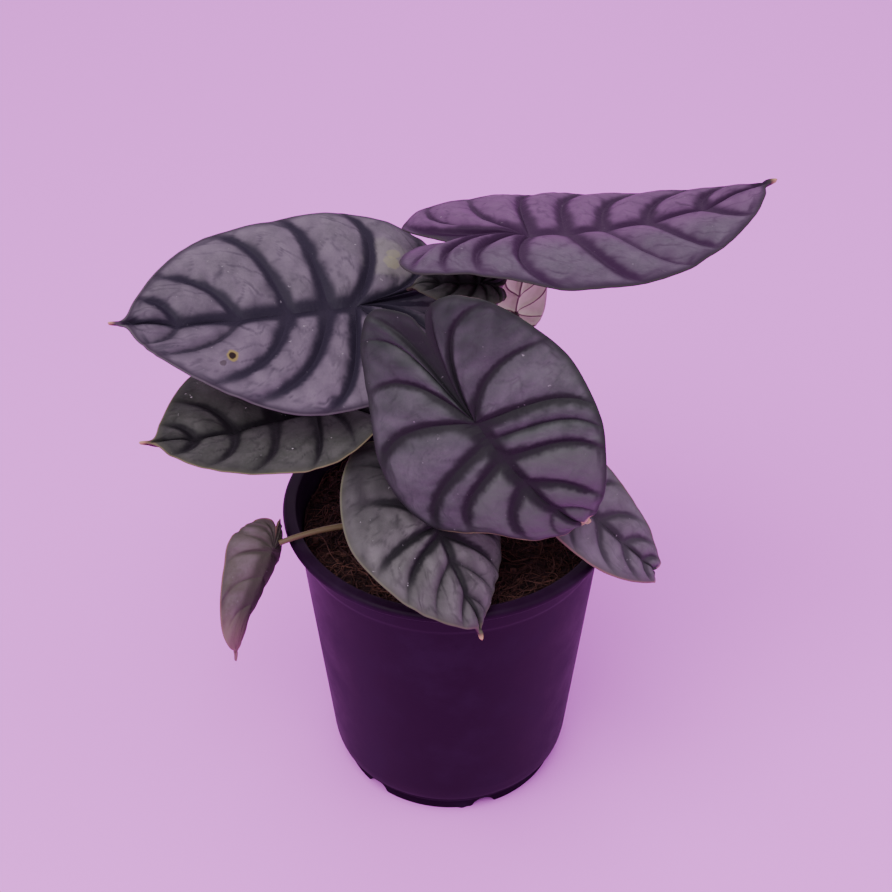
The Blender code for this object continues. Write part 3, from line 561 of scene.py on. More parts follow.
def addLeaf(name, look):
    # Both faces of a blade: the quilted sheet moved half its thickness up and down its normals, with
    # the two sides sharing the midrib and the two faces sharing the edge, kept inside the CAD's box.
    leaf = leaves[name]
    rows = leafRows(leaf, look["step"])
    spots, fields, faces, offset = [], [], [], 0
    for sideName, sign in (("Left", 1.0), ("Right", -1.0)):
        sheet = leafSheet(leaf, sideName, rows, look["columns"])
        lift, thick, shade, twig, hollow, hem = leafFields(leaf, sheet, look, sideName)
        x, y = sheet["flat"][..., 0].ravel(), (sign * sheet["flat"][..., 1]).ravel()
        y = np.where(np.abs(y) < 1e-9, 0.0, y)
        low = bendBlade(leaf, x, y)
        ahead, aside = bendBlade(leaf, x + 0.05, y) - low, bendBlade(leaf, x, y + 0.05) - low
        normal = np.cross(ahead, aside)
        normal /= np.linalg.norm(normal, axis=1)[:, None]
        toRib = np.where(sheet["flat"][..., 0] > 0, np.abs(sheet["flat"][..., 1]), 9.0)
        for face in (1.0, 0.0):
            move = (lift + (face - 0.5) * thick).ravel()
            place = (low + normal * move[:, None]) @ turnMatrix(leaf).T + np.array(leaf["attach"])
            spots.append(np.clip(place, np.array(cadBox[0]) / mm, np.array(cadBox[1]) / mm))
            values = (shade, twig, hollow, sheet["toEdge"], face, np.minimum(sheet["sideways"], toRib),
                      x.reshape(lift.shape), y.reshape(lift.shape), hem)
            fields.append(np.stack([np.broadcast_to(value, lift.shape).ravel() for value in values], -1))
            quads = gridFaces(*lift.shape, offset)
            faces.append(quads[:, ::-1] if (sign > 0) == (face > 0.5) else quads)
            offset += lift.size
    spots, fields, faces = weld(np.vstack(spots), np.vstack(fields), np.vstack(faces))
    addPiece(look["piece"], spots, faces, look["material"], look["slot"], "blade_" + name,
             vein=fields[:, :3], edge=fields[:, 3:6], flat=fields[:, 6:])


def weld(spots, fields, faces):
    # Joins vertices at one place and drops what then has fewer than three corners.
    _, first, index = np.unique(np.round(spots, 3), axis=0, return_index=True, return_inverse=True)
    faces = index.reshape(-1)[faces]
    same = faces == np.roll(faces, 1, axis=1)
    pairs = same.sum(1)
    crossed = (faces[:, 0] == faces[:, 2]) | (faces[:, 1] == faces[:, 3])
    quads = faces[(pairs == 0) & ~crossed]
    corners = faces[(pairs == 1) & ~crossed]
    triangles = corners[~same[(pairs == 1) & ~crossed]].reshape(-1, 3)
    return spots[first], fields[first], quads.tolist() + triangles.tolist()


def addMark(tree, color, flat, mark, grain):
    # Blemish about a flat place (x, y) of the blade: its tone fills a disc of a radius in millimetres,
    # with an outline that follows the grain.
    away = vectorNode(tree, "DISTANCE", flat, (mark["x"], mark["y"], 1.0))["Value"]
    reach = calculate(tree, "ADD", away, strayNode(tree, grain, mark["ragged"]))
    share = rangeNode(tree, reach, mark["outer"] * 0.75, mark["outer"] * 1.1, mark["share"], 0.0)
    return mixColors(tree, share, color, mark["tone"])


def leafMaterial(name, tones):
    # Upper face: panel colour, darker along the veins, with painted shade in the hollows beside them
    # and a thin edge line; lower face paler with raised veins. Mixed by the mesh's vein, edge and flat
    # attributes and by noise on Object coordinates.
    material, tree, shader = newMaterial(name, tones["roughness"], tones["gloss"])
    place = objectPlace(tree)
    flat = attributeNode(tree, "flat", "Vector")
    veinShade, twigShade, paintedShadeMask = splitVector(tree, attributeNode(tree, "vein", "Vector"))
    toEdge, isUpper, nearVein = splitVector(tree, attributeNode(tree, "edge", "Vector"))
    ahead, aside, hasHem = splitVector(tree, flat)
    mottle = noiseNode(tree, place, 90.0, 5.0, 0.6)
    speck = noiseNode(tree, place, 900.0, 3.0, 0.6)
    patches = rangeNode(tree, mottle, 0.35, 0.65)
    panel = mixColors(tree, patches, tones["panel"], tones["panelTwo"])
    leftward = rangeNode(tree, aside, tones["leftFrom"], tones["leftTo"], 0.0, tones["leftShare"])
    panel = mixColors(tree, leftward, panel, tones["leftTone"])
    grain = rangeNode(tree, speck, 0.3, 0.75, 0.0, tones["grainShare"])
    panel = mixColors(tree, grain, panel, tones["grainTone"])
    # painted shade of the hollows first, then the twigs' own dark lines
    for drawn, most, tone in ((paintedShadeMask, "paintedShadeShare", "hollow"), (twigShade, "twigShare", "vein")):
        panel = mixColors(tree, calculate(tree, "MULTIPLY", drawn, tones[most]), panel, tones[tone])
    for mark in tones["stains"]:
        panel = addMark(tree, panel, flat, mark, mottle)
    shade = rangeNode(tree, calculate(tree, "ADD", veinShade, strayNode(tree, speck, 0.25)), 0.02, 0.95)
    upper = mixColors(tree, shade, panel, tones["vein"])
    rim = rangeNode(tree, toEdge, tones["rimStart"], tones["rimEnd"], tones["rimShare"], 0.0)
    upper = mixColors(tree, rim, upper, tones["rim"])
    for mark in tones["marks"]:
        upper = addMark(tree, upper, flat, mark, noiseNode(tree, place, 420.0, 3.0, 0.6))
    # pale specks: dust, and where their share is full also painted highlights of glossy spots
    dust = rangeNode(tree, noiseNode(tree, place, 620.0, 2.0, 0.5), 0.70, 0.78)
    dust = calculate(tree, "MULTIPLY", dust, rangeNode(tree, mottle, 0.5, 0.62, 0.0, tones["dustAndSheenShare"]))
    upper = mixColors(tree, dust, upper, tones["dust"])
    hem = rangeNode(tree, toEdge, tones["hemWidth"] * 0.4, tones["hemWidth"] * 1.3, tones["hemShare"], 0.0)
    hem = calculate(tree, "MULTIPLY", hem, hasHem)
    upper = mixColors(tree, hem, upper, tones["hem"])
    under = mixColors(tree, patches, tones["under"], tones["underTwo"])
    raised = rangeNode(tree, nearVein, 0.15, tones["underVeinWidth"], 1.0, 0.0)
    under = mixColors(tree, raised, under, tones["underVein"])
    under = mixColors(tree, hem, under, tones["hem"])
    color = mixColors(tree, isUpper, under, upper)
    color = mixColors(tree, rangeNode(tree, ahead, tones["tipStart"], tones["tipEnd"]), color, tones["tip"])
    tree.links.new(color, shader.inputs["Base Color"])
    pores = calculate(tree, "MULTIPLY", noiseNode(tree, place, 350.0, 3.0, 0.5), 2.0)
    bumpInto(tree, shader, calculate(tree, "ADD", speck, pores), 0.25, 0.0004)
    return material


silverTones = dict(
    panel=(0.132, 0.113, 0.138), panelTwo=(0.098, 0.088, 0.102), grainTone=(0.19, 0.165, 0.19),
    # The hollow tones here and below are the colour of painted shade in the quilted hollows.
    grainShare=0.2, hollow=(0.034, 0.028, 0.040), paintedShadeShare=0.95, vein=(0.017, 0.014, 0.024),
    twigShare=0.6, leftTone=(0.125, 0.098, 0.132), leftShare=0.5, rim=(0.02, 0.012, 0.024), rimStart=0.3,
    rimEnd=2.6, rimShare=0.8, hem=(0.10, 0.088, 0.096), hemShare=0.6, hemWidth=0.6,
    under=(0.16, 0.075, 0.10), underTwo=(0.12, 0.085, 0.08), underVein=(0.05, 0.016, 0.036),
    underVeinWidth=1.0, tip=(0.50, 0.36, 0.17), roughness=0.52, gloss=0.10, dustAndSheenShare=0.25, leftFrom=-12.0,
    leftTo=12.0, dust=(0.62, 0.60, 0.62),
    stains=(dict(x=-13.0, y=-18.0, outer=9.0, ragged=12.0, share=0.4, tone=(0.19, 0.195, 0.165)),
            dict(x=-14.2, y=-15.2, outer=2.6, ragged=9.0, share=0.38, tone=(0.235, 0.245, 0.115)),
            dict(x=-15.6, y=-19.4, outer=1.9, ragged=7.0, share=0.34, tone=(0.24, 0.25, 0.12))),
    marks=(dict(x=48.4, y=16.6, outer=2.1, ragged=1.6, share=0.9, tone=(0.20, 0.17, 0.05)),
           dict(x=48.4, y=16.6, outer=1.35, ragged=1.0, share=1.0, tone=(0.016, 0.010, 0.008)),
           dict(x=51.8, y=18.6, outer=1.1, ragged=1.6, share=0.6, tone=(0.03, 0.022, 0.02))))
duskTones = dict(
    silverTones, panel=(0.094, 0.094, 0.100), panelTwo=(0.068, 0.069, 0.072),
    grainTone=(0.14, 0.135, 0.14), vein=(0.0165, 0.0165, 0.018), twigShare=0.35, leftShare=0.0,
    hollow=(0.023, 0.031, 0.026), rim=(0.019, 0.021, 0.020), hem=(0.22, 0.24, 0.09), hemShare=0.75,
    hemWidth=0.7,
    stains=(dict(x=44.0, y=2.0, outer=34.0, ragged=12.0, share=0.6, tone=(0.084, 0.108, 0.084)),),
    marks=(dict(x=56.0, y=3.0, outer=4.4, ragged=3.4, share=0.9, tone=(0.52, 0.46, 0.26)),
           dict(x=53.6, y=8.6, outer=1.5, ragged=2.4, share=0.8, tone=(0.50, 0.46, 0.28))))
# Its purple panel and the strong purple over one side are partly the leaf's own colour and partly a painted
# reflection of the pink surroundings at grazing angles.
plumSheenTones = dict(
    silverTones, panel=(0.092, 0.076, 0.100), panelTwo=(0.071, 0.061, 0.078), grainTone=(0.16, 0.12, 0.16),
    leftTone=(0.128, 0.058, 0.134), leftShare=0.95, leftFrom=-24.0, leftTo=-3.0,
    hollow=(0.050, 0.022, 0.055), vein=(0.027, 0.009, 0.031), hem=(0.035, 0.035, 0.028), dustAndSheenShare=0.15,
    stains=(), marks=())
greyTones = dict(
    silverTones, stains=(), panel=(0.138, 0.136, 0.133), panelTwo=(0.098, 0.100, 0.093),
    vein=(0.014, 0.0135, 0.015), grainTone=(0.16, 0.16, 0.155), hollow=(0.030, 0.028, 0.030),
    rim=(0.07, 0.075, 0.05), leftShare=0.0, rimShare=0.35, hem=(0.14, 0.15, 0.08), hemShare=0.45,
    under=(0.15, 0.10, 0.09), underTwo=(0.12, 0.11, 0.07), dustAndSheenShare=0.6, marks=())
lilacTones = dict(
    greyTones, panel=(0.158, 0.146, 0.164), panelTwo=(0.116, 0.108, 0.119), vein=(0.047, 0.042, 0.050),
    hollow=(0.062, 0.062, 0.064), twigShare=0.4, hem=(0.20, 0.13, 0.10), hemShare=0.8,
    tip=(0.30, 0.22, 0.19))
# Low leaf under a larger one: its dark panel tones are partly its own colour and partly painted shade from
# the leaf above, and its full share of pale specks is partly painted highlights.
shadedMossTones = dict(
    greyTones, panel=(0.070, 0.072, 0.066), panelTwo=(0.046, 0.050, 0.043), hollow=(0.018, 0.019, 0.018),
    vein=(0.011, 0.010, 0.012), grainTone=(0.11, 0.11, 0.105), hem=(0.20, 0.17, 0.08), hemShare=0.5,
    hemWidth=0.4, dustAndSheenShare=1.0)
# Back leaf: its pale underside tones are partly its own colour and partly painted light, raised so that a
# face standing in shade stays bright.
paleLitTones = dict(
    silverTones, stains=(), under=(0.56, 0.72, 0.40), underTwo=(0.63, 0.78, 0.46),
    underVein=(0.13, 0.08, 0.08), underVeinWidth=0.5, hem=(0.45, 0.25, 0.35), roughness=0.5, marks=())
youngTones = dict(
    shadedMossTones, panel=(0.100, 0.106, 0.096), panelTwo=(0.075, 0.080, 0.071), hollow=(0.036, 0.038, 0.035),
    vein=(0.024, 0.025, 0.024), hem=(0.07, 0.06, 0.04), under=(0.10, 0.035, 0.06), tip=(0.16, 0.12, 0.07))
dryTones = dict(
    silverTones, stains=(), panel=(0.145, 0.118, 0.124), panelTwo=(0.085, 0.076, 0.064),
    vein=(0.052, 0.047, 0.039), hollow=(0.072, 0.063, 0.052), under=(0.20, 0.14, 0.12),
    underTwo=(0.15, 0.11, 0.085), twigShare=0.25, hem=(0.24, 0.15, 0.10), tip=(0.22, 0.15, 0.13),
    roughness=0.7, gloss=0.12, leftShare=0.0, rimShare=0.2, marks=())


# Among these numbers: how far in millimetres the painted shade beside veins and midrib reaches, and how
# strongly and from where the blade is darkened towards its notch as painted shade.
largeLook = dict(
    slot="silver_blade", tones=silverTones, veinWidth=4.8, ribWidth=5.2, twigPitch=10.0, puff=1.6,
    ribTaper=(1.05, 1.0, 0.82, 0.36, 0.12), veinFade=0.55, fadeFrom=0.78, loop=0.6, backPaintedShade=0.0,
    hollow=3.4, wedge=0.5, edgeWave=0.35, backVein=0.6, backShadeFrom=0.1, columns=46)
lowLook = dict(
    largeLook, slot="grey_blade", tones=greyTones, veinWidth=3.2, ribWidth=3.0, twigPitch=8.0,
    ribTaper=(1.2, 0.95, 0.62, 0.3, 0.15), veinFade=0.85, fadeFrom=0.6, loop=0.3, backPaintedShade=0.3, hollow=2.9,
    columns=36)
leafLooks = {
    "left_large": dict(
        largeLook, piece="leafBladeLeftLarge", tipSpan=(83.5, 86.0), seed=11, step=0.68, faintLeft=(7, 8)),
    "right_large": dict(
        largeLook, piece="leafBladeRightLarge", tones=plumSheenTones, tipSpan=(94.5, 98.0), seed=21, step=0.71,
        faintRight=(6,), puff=1.7, veinWidth=5.1, ribWidth=4.4, ribTaper=(1.2, 1.0, 0.62, 0.3, 0.12)),
    "front_large": dict(
        largeLook, piece="leafBladeFrontLarge", tones=duskTones, tipSpan=(55.3, 58.0), seed=31, step=0.66,
        faintLeft=(5, 8, 9), faintRight=(2, 8, 9), wedge=0.85, backPaintedShade=0.85, hollow=3.6, veinWidth=4.3,
        puff=1.1, hemFrom=dict(Left=(8.0, 8.8), Right=(4.9, 5.6))),
    "left_low": dict(
        lowLook, piece="leafBladeLeftLow", tones=shadedMossTones, tipSpan=(63.0, 66.0), seed=41, step=0.7),
    "front_low": dict(
        lowLook, piece="leafBladeFrontLow", tipSpan=(38.5, 41.0), seed=51, step=0.65, backPaintedShade=1.1,
        backShadeFrom=0.5, backVein=1.3, veinWidth=2.7, faintLeft=(6, 7), faintRight=(6, 7)),
    "right_low": dict(
        lowLook, piece="leafBladeRightLow", tones=lilacTones, tipSpan=(46.0, 47.8), veinWidth=2.3,
        ribTaper=(1.1, 1.0, 0.8, 0.35, 0.1), hollow=2.2, seed=61, step=0.6, columns=30),
    "back": dict(
        lowLook, piece="leafBladeBack", slot="pale_blade", tones=paleLitTones, tipSpan=(36.5, 39.0),
        veinWidth=1.0, ribWidth=1.2, hollow=1.5, seed=71, step=0.6, columns=26),
    "withered": dict(
        lowLook, piece="leafBladeWithered", slot="dry_blade", tones=dryTones, tipSpan=(20.0, 44.0),
        veinWidth=1.5, ribWidth=4.5, ribTaper=(1.0, 1.1, 1.0, 0.6, 0.3), veinFade=0.9, fadeFrom=0.3,
        faintLeft=(5, 6), faintRight=(5, 6), hollow=2.6, edgeWave=0.8, loop=0.0, seed=81, step=0.55,
        puff=0.9, columns=30),
    "young": dict(
        lowLook, piece="leafBladeYoung", tones=youngTones, tipSpan=(25.5, 27.0), veinWidth=1.3,
        ribWidth=2.2, hollow=2.2, puff=2.2, seed=91, step=0.5, columns=26),
}
for leafName, look in leafLooks.items():
    tones = dict(look["tones"], tipStart=look["tipSpan"][0], tipEnd=look["tipSpan"][1])
    look["material"] = leafMaterial(look["piece"] + "Skin", tones)
    addLeaf(leafName, look)
    print("leaf", leafName, "made")


stalkLook = dict(sides=20, steps=140, footRings=12, low=(0.14, 0.11, 0.055), high=(0.050, 0.020, 0.034),
                 dryLow=(0.088, 0.076, 0.024), dryHigh=(0.104, 0.080, 0.028), sheath=1.18)


def tubeRing(path, radii, sides):
    # Rings of points about a path: each ring lies across the path's direction, turned as little as
    # possible from the one before (a frame carried along by projection).
    way = np.gradient(path, axis=0)
    way /= np.linalg.norm(way, axis=1)[:, None]
    side = np.cross(way, np.array([0.31, 0.95, 0.02]))
    side /= np.linalg.norm(side, axis=1)[:, None]
    other = np.cross(way, side)
    angle = evenAngles(sides)
    return (path[:, None] + radii[..., None] * (np.cos(angle)[None, :, None] * side[:, None]
                                                + np.sin(angle)[None, :, None] * other[:, None]))


def lidFaces(rows, sides):
    # Triangles from the first and last ring of a tube to centre points numbered next after its grid.
    ring, last = np.arange(sides), (rows - 1) * sides
    after, centre = (ring + 1) % sides, np.full(sides, rows * sides)
    return np.vstack([np.stack([after, ring, centre], -1),
                      np.stack([ring + last, after + last, centre + 1], -1)])


def closedTube(rings):
    # Vertices and faces of a tube of rings, with a centre point closing either end.
    rows, sides = rings.shape[:2]
    spots = np.vstack([rings.reshape(-1, 3), rings[0].mean(0), rings[-1].mean(0)])
    return spots, gridFaces(rows, sides, closeColumns=True).tolist() + lidFaces(rows, sides).tolist()


def stalkCurve(leaf, count):
    # Upright in its hole, then one cubic arc up to the underside of the blade.
    top = leaf["stalk"][1]
    axis = turnMatrix(leaf) @ np.array([0.0, 0.0, 1.0])
    ahead = turnMatrix(leaf) @ np.array([1.0, 0.0, 0.0])
    end = np.array(leaf["attach"]) - axis * (bladeThickness / 2 + seatGap + 0.45 * top)
    foot = np.array([leaf["foot"][0], leaf["foot"][1], soilHeight + 1.0])
    bend = np.array([foot[0] * 1.1, foot[1] * 1.1, foot[2] + 0.5 * (end[2] - foot[2])])
    nearTop = end - (axis * 0.8 - ahead * 0.3) * 0.30 * np.linalg.norm(end - bend)
    if "via" in leaf:
        bend, nearTop = (np.array(spot) for spot in leaf["via"])
    if "end" in leaf:
        end = np.array(leaf["end"])
    t = np.linspace(0, 1, count)[:, None]
    arc = (1 - t) ** 3 * foot + 3 * t * (1 - t) ** 2 * bend + 3 * t ** 2 * (1 - t) * nearTop + t ** 3 * end
    up = np.array([[0, 0, 1.0]])
    start = foot - np.linspace(holeDepth - 1.0, 0, stalkLook["footRings"], endpoint=False)[:, None] * up
    return np.vstack([start, arc]), axis


def stalkMaterial(name, low, high, roughness):
    # From the low colour to the high one along the stalk, blurred by streaks.
    material, tree, shader = newMaterial(name, roughness)
    streak = noiseNode(tree, objectPlace(tree), 260.0, 4.0, 0.6)
    reach = attributeNode(tree, "reach", "Fac")
    share = calculate(tree, "ADD", reach, strayNode(tree, streak, 0.9), clamp=True)
    tree.links.new(mixColors(tree, share, low, high), shader.inputs["Base Color"])
    bumpInto(tree, shader, streak, 0.2, 0.0006)
    return material


greenSkin = stalkMaterial("greenStalkSkin", stalkLook["low"], stalkLook["high"], 0.42)
drySkin = stalkMaterial("dryStalkSkin", stalkLook["dryLow"], stalkLook["dryHigh"], 0.6)


def addStalk(name):
    # Swollen at its foot and ridged. One that ends under a blade goes on into it by one wider ring.
    leaf = leaves[name]
    path, axis = stalkCurve(leaf, stalkLook["steps"])
    low, top = leaf["stalk"]
    dry = name == "withered"
    part = np.concatenate([np.zeros(stalkLook["footRings"]), np.linspace(0, 1, stalkLook["steps"])])
    radius = low + (top - low) * np.minimum(1.0, part * 1.25)
    radius = radius * (1 + (stalkLook["sheath"] - 1) * (1 - smoothStep(0.0, 0.28, part)) * (not dry))
    angle = evenAngles(stalkLook["sides"])[None, :]
    ridges = 1 + 0.03 * np.sin(3 * angle + 5 * part[:, None]) + 0.02 * np.sin(7 * angle)
    if "end" not in leaf:
        path = np.vstack([path, path[-1] + axis * (seatGap + 0.45 * top + 0.2)])
        radius, part = np.append(radius, top * 1.25), np.append(part, 1.0)
        ridges = np.vstack([ridges, ridges[-1:]])
    spots, faces = closedTube(tubeRing(path, radius[:, None] * ridges, stalkLook["sides"]))
    reach = np.concatenate([np.repeat(part, stalkLook["sides"]), [0.0, 1.0]])
    camel = "stalk" + "".join(word.capitalize() for word in name.split("_"))
    addPiece(camel, spots, faces, drySkin if dry else greenSkin, "dry_stalk" if dry else "green_stalk",
             "stalk_" + name, reach=reach)


for leafName in leaves:
    addStalk(leafName)
print("stalks made")


# The pot in millimetres. The wall's two ends, wallTop and wallLow, are each a radius and a height.
potLook = dict(
    columns=420, rimRadius=60.0, rimHeight=119.8, wallTop=(55.6, 116.8), wallLow=(45.55, 14.0),
    wallThickness=1.2, footRadius=41.4, footWidth=2.4, floorHeight=4.4, archRadius=4.6, archDrop=1.2,
    archAngles=(-132.0, -72.0, -12.0, 48.0, 108.0, 168.0), nubAngle=83.5, drainHoles=6, drainRing=26.0,
    # The pot and scuff colours are near black with a purple cast, which is a painted reflection of the pink
    # surroundings; the scuffs themselves are wear.
    drainRadius=3.2, color=(0.0108, 0.0016, 0.0128), scuffed=(0.018, 0.006, 0.023), roughness=0.48,
    gloss=0.08)


def wallRadius(height):
    # Outer radius: a straight taper between the two ends of the wall.
    (low, lowLevel), (high, highLevel) = potLook["wallLow"], potLook["wallTop"]
    return low + (high - low) * (height - lowLevel) / (highLevel - lowLevel)


def roundedProfile(points, fillet=6):
    # Each corner (radius, height, rounding) becomes a quadratic bend between its two sides.
    spots = []
    count = len(points)
    for index, (x, z, size) in enumerate(points):
        here = np.array((x, z))
        if size == 0:
            spots.append(here)
            continue
        before, after = np.array(points[index - 1][:2]), np.array(points[(index + 1) % count][:2])
        inWay, outWay = (before - here), (after - here)
        start = here + inWay / np.linalg.norm(inWay) * min(size, np.linalg.norm(inWay) * 0.48)
        end = here + outWay / np.linalg.norm(outWay) * min(size, np.linalg.norm(outWay) * 0.48)
        for t in np.linspace(0, 1, fillet):
            spots.append((1 - t) ** 2 * start + 2 * t * (1 - t) * here + t ** 2 * end)
    return np.array(spots)


def addPot():
    # Closed wall and foot turned about the axis; the foot's lower part is raised into an arch where
    # the distance along the foot is within the arch's radius. A small nub stands on the foot's front.
    look = potLook
    rim, height, inner, foot = look["rimRadius"], look["rimHeight"], look["wallThickness"], look["footRadius"]
    footIn, floorLevel = foot - look["footWidth"], look["floorHeight"]
    footTop, footUnder = 3.9, 3.0
    corners = [
        (55.3, height - 0.35, 0.3), (56.0, height, 0.4), (58.9, height, 0.9), (rim, height - 1.0, 0.7),
        (rim, height - 2.5, 0.3), (59.4, height - 3.0, 0.4), (56.5, 116.9, 0.4), (55.95, 116.0, 0.5),
        (wallRadius(107.5) + 0.3, 107.9, 0.5), (wallRadius(106.6), 106.6, 0.7), (wallRadius(80.0), 80.0, 0),
        (wallRadius(50.0), 50.0, 0), (wallRadius(24.0), 24.0, 0), (wallRadius(14.0), 13.4, 3.0),
        (44.6, 8.0, 2.6), (42.3, 4.8, 0.9), (foot, footTop, 0.5), (foot, 2.6, 0), (foot, 1.3, 0),
        (foot, 0.0, 0.35), (footIn, 0.0, 0.35), (footIn, 1.5, 0), (footIn, footUnder, 0.3),
        (36.0, footUnder, 0), (36.0, floorLevel, 0), (38.5, floorLevel, 0), (41.2, 6.4, 1.2),
        (43.3, 10.5, 1.5), (wallRadius(14.0) - inner, 14.5, 1.5), (wallRadius(60.0) - inner, 60.0, 0),
        (wallRadius(116.0) - inner, 116.0, 0.4)]
    profile = roundedProfile(corners)
    angle = evenAngles(look["columns"])
    radius = np.repeat(profile[:, :1], len(angle), 1)
    level = np.repeat(profile[:, 1:], len(angle), 1)
    arch = np.zeros_like(angle)
    for degrees in look["archAngles"]:
        away = (angle - math.radians(degrees) + math.pi) % math.tau - math.pi
        arch = np.maximum(arch, np.sqrt(np.clip(look["archRadius"] ** 2 - (foot * away) ** 2, 0, None))
                          - look["archDrop"])
    onFoot = (radius > footIn - 0.4) & (radius < foot + 0.1) & (level < footTop + 0.05)
    roof = np.where(radius > foot - 0.5, footTop, footUnder)
    arch = np.minimum(arch[None, :], roof - 0.35)
    level = np.where(onFoot, arch + level * (roof - arch) / roof, level)
    around, aside = np.cos(angle)[None, :] * 40, np.sin(angle)[None, :] * 40
    waver = 0.10 * ripple(around + level * 0.3, aside, 5, 5, 0.01, 0.03)
    radius = radius + waver * ((level > 14) & (level < 116))
    toNub = (angle[None, :] + math.radians(look["nubAngle"])) % math.tau
    nub = np.exp(-(toNub * foot / 1.2) ** 2) + np.exp(-((math.tau - toNub) * foot / 1.2) ** 2)
    radius = radius + 0.9 * np.clip(nub, 0, 1) * np.exp(-((level - 1.2) / 1.4) ** 2) * (radius > foot - 0.1)
    spots = np.stack([radius * np.cos(angle), radius * np.sin(angle), level], -1).reshape(-1, 3)
    spots = np.clip(spots, (-60, -60, 0), (60, 60, height))
    faces = np.vstack([gridFaces(len(profile), len(angle), closeColumns=True),
                       seamFaces(len(profile), len(angle))])[:, ::-1]
    baseSpots, baseFaces = drainPlate(len(spots))
    addPiece("nurseryPot", np.vstack([spots, baseSpots]), faces.tolist() + baseFaces, potMaterial(),
             "pot_plastic", "pot")


def drainPlate(offset):
    # Floor of the pot: for each hole a fan of rays from its rim to the outline of its sector, carried
    # along the top, down the hole and back along the underside, which closes the sector's border.
    look = potLook
    outer, low, high = 38.7, 3.02, look["floorHeight"] - 0.02
    half = math.pi / look["drainHoles"]
    turn = evenAngles(96)
    centre = np.array([look["drainRing"], 0.0])
    way = np.stack([np.cos(turn), np.sin(turn)], -1)
    toSide = look["drainRing"] * math.sin(half) / np.maximum(np.abs(way[:, 1]) * math.cos(half)
                                                            - way[:, 0] * math.sin(half), 1e-6)
    middle = way @ centre
    toRim = -middle + np.sqrt(middle ** 2 + outer ** 2 - centre @ centre)
    reach = np.minimum(toSide, toRim)
    share = np.linspace(0, 1, 6)
    steps = np.concatenate([share[::-1], share])
    levels = np.concatenate([np.full(6, high), np.full(6, low)])
    away = look["drainRadius"] + steps[:, None] * (reach[None, :] - look["drainRadius"])
    flat = centre + away[..., None] * way[None]
    spots, faces = [], []
    for index in range(look["drainHoles"]):
        angle = math.tau * (index + 0.5) / look["drainHoles"]
        x = flat[..., 0] * math.cos(angle) - flat[..., 1] * math.sin(angle)
        y = flat[..., 0] * math.sin(angle) + flat[..., 1] * math.cos(angle)
        spots.append(np.stack([x, y, np.repeat(levels[:, None], len(turn), 1)], -1).reshape(-1, 3))
        start = offset + index * len(levels) * len(turn)
        faces += gridFaces(len(levels), len(turn), start, closeColumns=True).tolist()
        faces += seamFaces(len(levels), len(turn), start).tolist()
    return np.vstack(spots), faces


def potMaterial():
    # Scuffed plastic, tinted purple as a painted reflection of the pink surroundings, duller inside:
    # there the distance from the axis, less what the wall widens by up to that height, is below
    # innerReach.
    widening, innerReach = 0.0978, 0.0437
    material, tree, shader = newMaterial("potPlasticSkin", gloss=potLook["gloss"])
    place = objectPlace(tree)
    scuff = noiseNode(tree, place, 45.0, 5.0, 0.65)
    color = mixColors(tree, rangeNode(tree, scuff, 0.4, 0.75), potLook["color"], potLook["scuffed"])
    tree.links.new(color, shader.inputs["Base Color"])
    rough = rangeNode(tree, scuff, 0.3, 0.8, potLook["roughness"] - 0.05, potLook["roughness"] + 0.12)
    level = vectorNode(tree, "MULTIPLY", place, (1.0, 1.0, 0.0))["Vector"]
    reach = vectorNode(tree, "LENGTH", level)["Value"]
    widened = calculate(tree, "MULTIPLY", splitVector(tree, place)[2], widening)
    inside = calculate(tree, "LESS_THAN", calculate(tree, "SUBTRACT", reach, widened), innerReach)
    rough = calculate(tree, "MAXIMUM", rough, calculate(tree, "MULTIPLY", inside, 0.95))
    tree.links.new(rough, shader.inputs["Roughness"])
    bumpInto(tree, shader, noiseNode(tree, place, 1200.0, 2.0, 0.5), 0.12, 0.0002)
    return material


addPot()
print("pot made")

soilLook = dict(rings=100, columns=230, strands=1700, strandPoints=11, strandTop=118.6, chips=520, seed=7,
                dark=(0.009, 0.004, 0.005), brown=(0.032, 0.013, 0.013), tan=(0.16, 0.070, 0.052))


def soilLevel(x, y):
    # Height of the filling: flat in the middle, a low ridge before the wall, and seeded waves.
    radius = np.hypot(x, y)
    base = np.interp(radius, (0, 18, 30, 44, 51, 55), (107.6, 107.5, 107.3, 108.0, 108.3, 107.0))
    frontRise = 1.6 * smoothStep(25, 50, radius) * smoothStep(0.2, 1.0, -y / (radius + 1e-6))
    rough = 0.9 * ripple(x, y, 71, 9, 0.02, 0.09) + 0.55 * ripple(x, y, 72, 12, 0.12, 0.3) \
        + 0.3 * ripple(x, y, 73, 14, 0.4, 0.9)
    return base + frontRise + rough


def addSoil():
    # Closed body: the rough top as rings about the axis, then the side just inside the wall and the
    # bottom on the pot's floor.
    look = soilLook
    gap = potLook["wallThickness"] + 0.2
    angle = evenAngles(look["columns"])
    radius = np.linspace(0.15, 1.0, look["rings"])[:, None] * (wallRadius(107.0) - gap) * np.ones_like(angle)
    x, y = radius * np.cos(angle), radius * np.sin(angle)
    z = soilLevel(x, y)
    base = potLook["floorHeight"] + 0.1
    for ring, level in ((wallRadius(60.0) - gap, 60.0), (wallRadius(14.0) - gap, 14.2), (42.9, 10.8),
                        (40.8, 6.8), (37.9, base), (0.3, base)):
        x = np.vstack([x, ring * np.cos(angle)])
        y = np.vstack([y, ring * np.sin(angle)])
        z = np.vstack([z, np.full_like(angle, level)])
    spots, faces = closedTube(np.stack([x, y, z], -1))
    addPiece("coirFilling", spots, faces, coirSkin, "coir", "soil", tone=np.zeros(len(spots)))


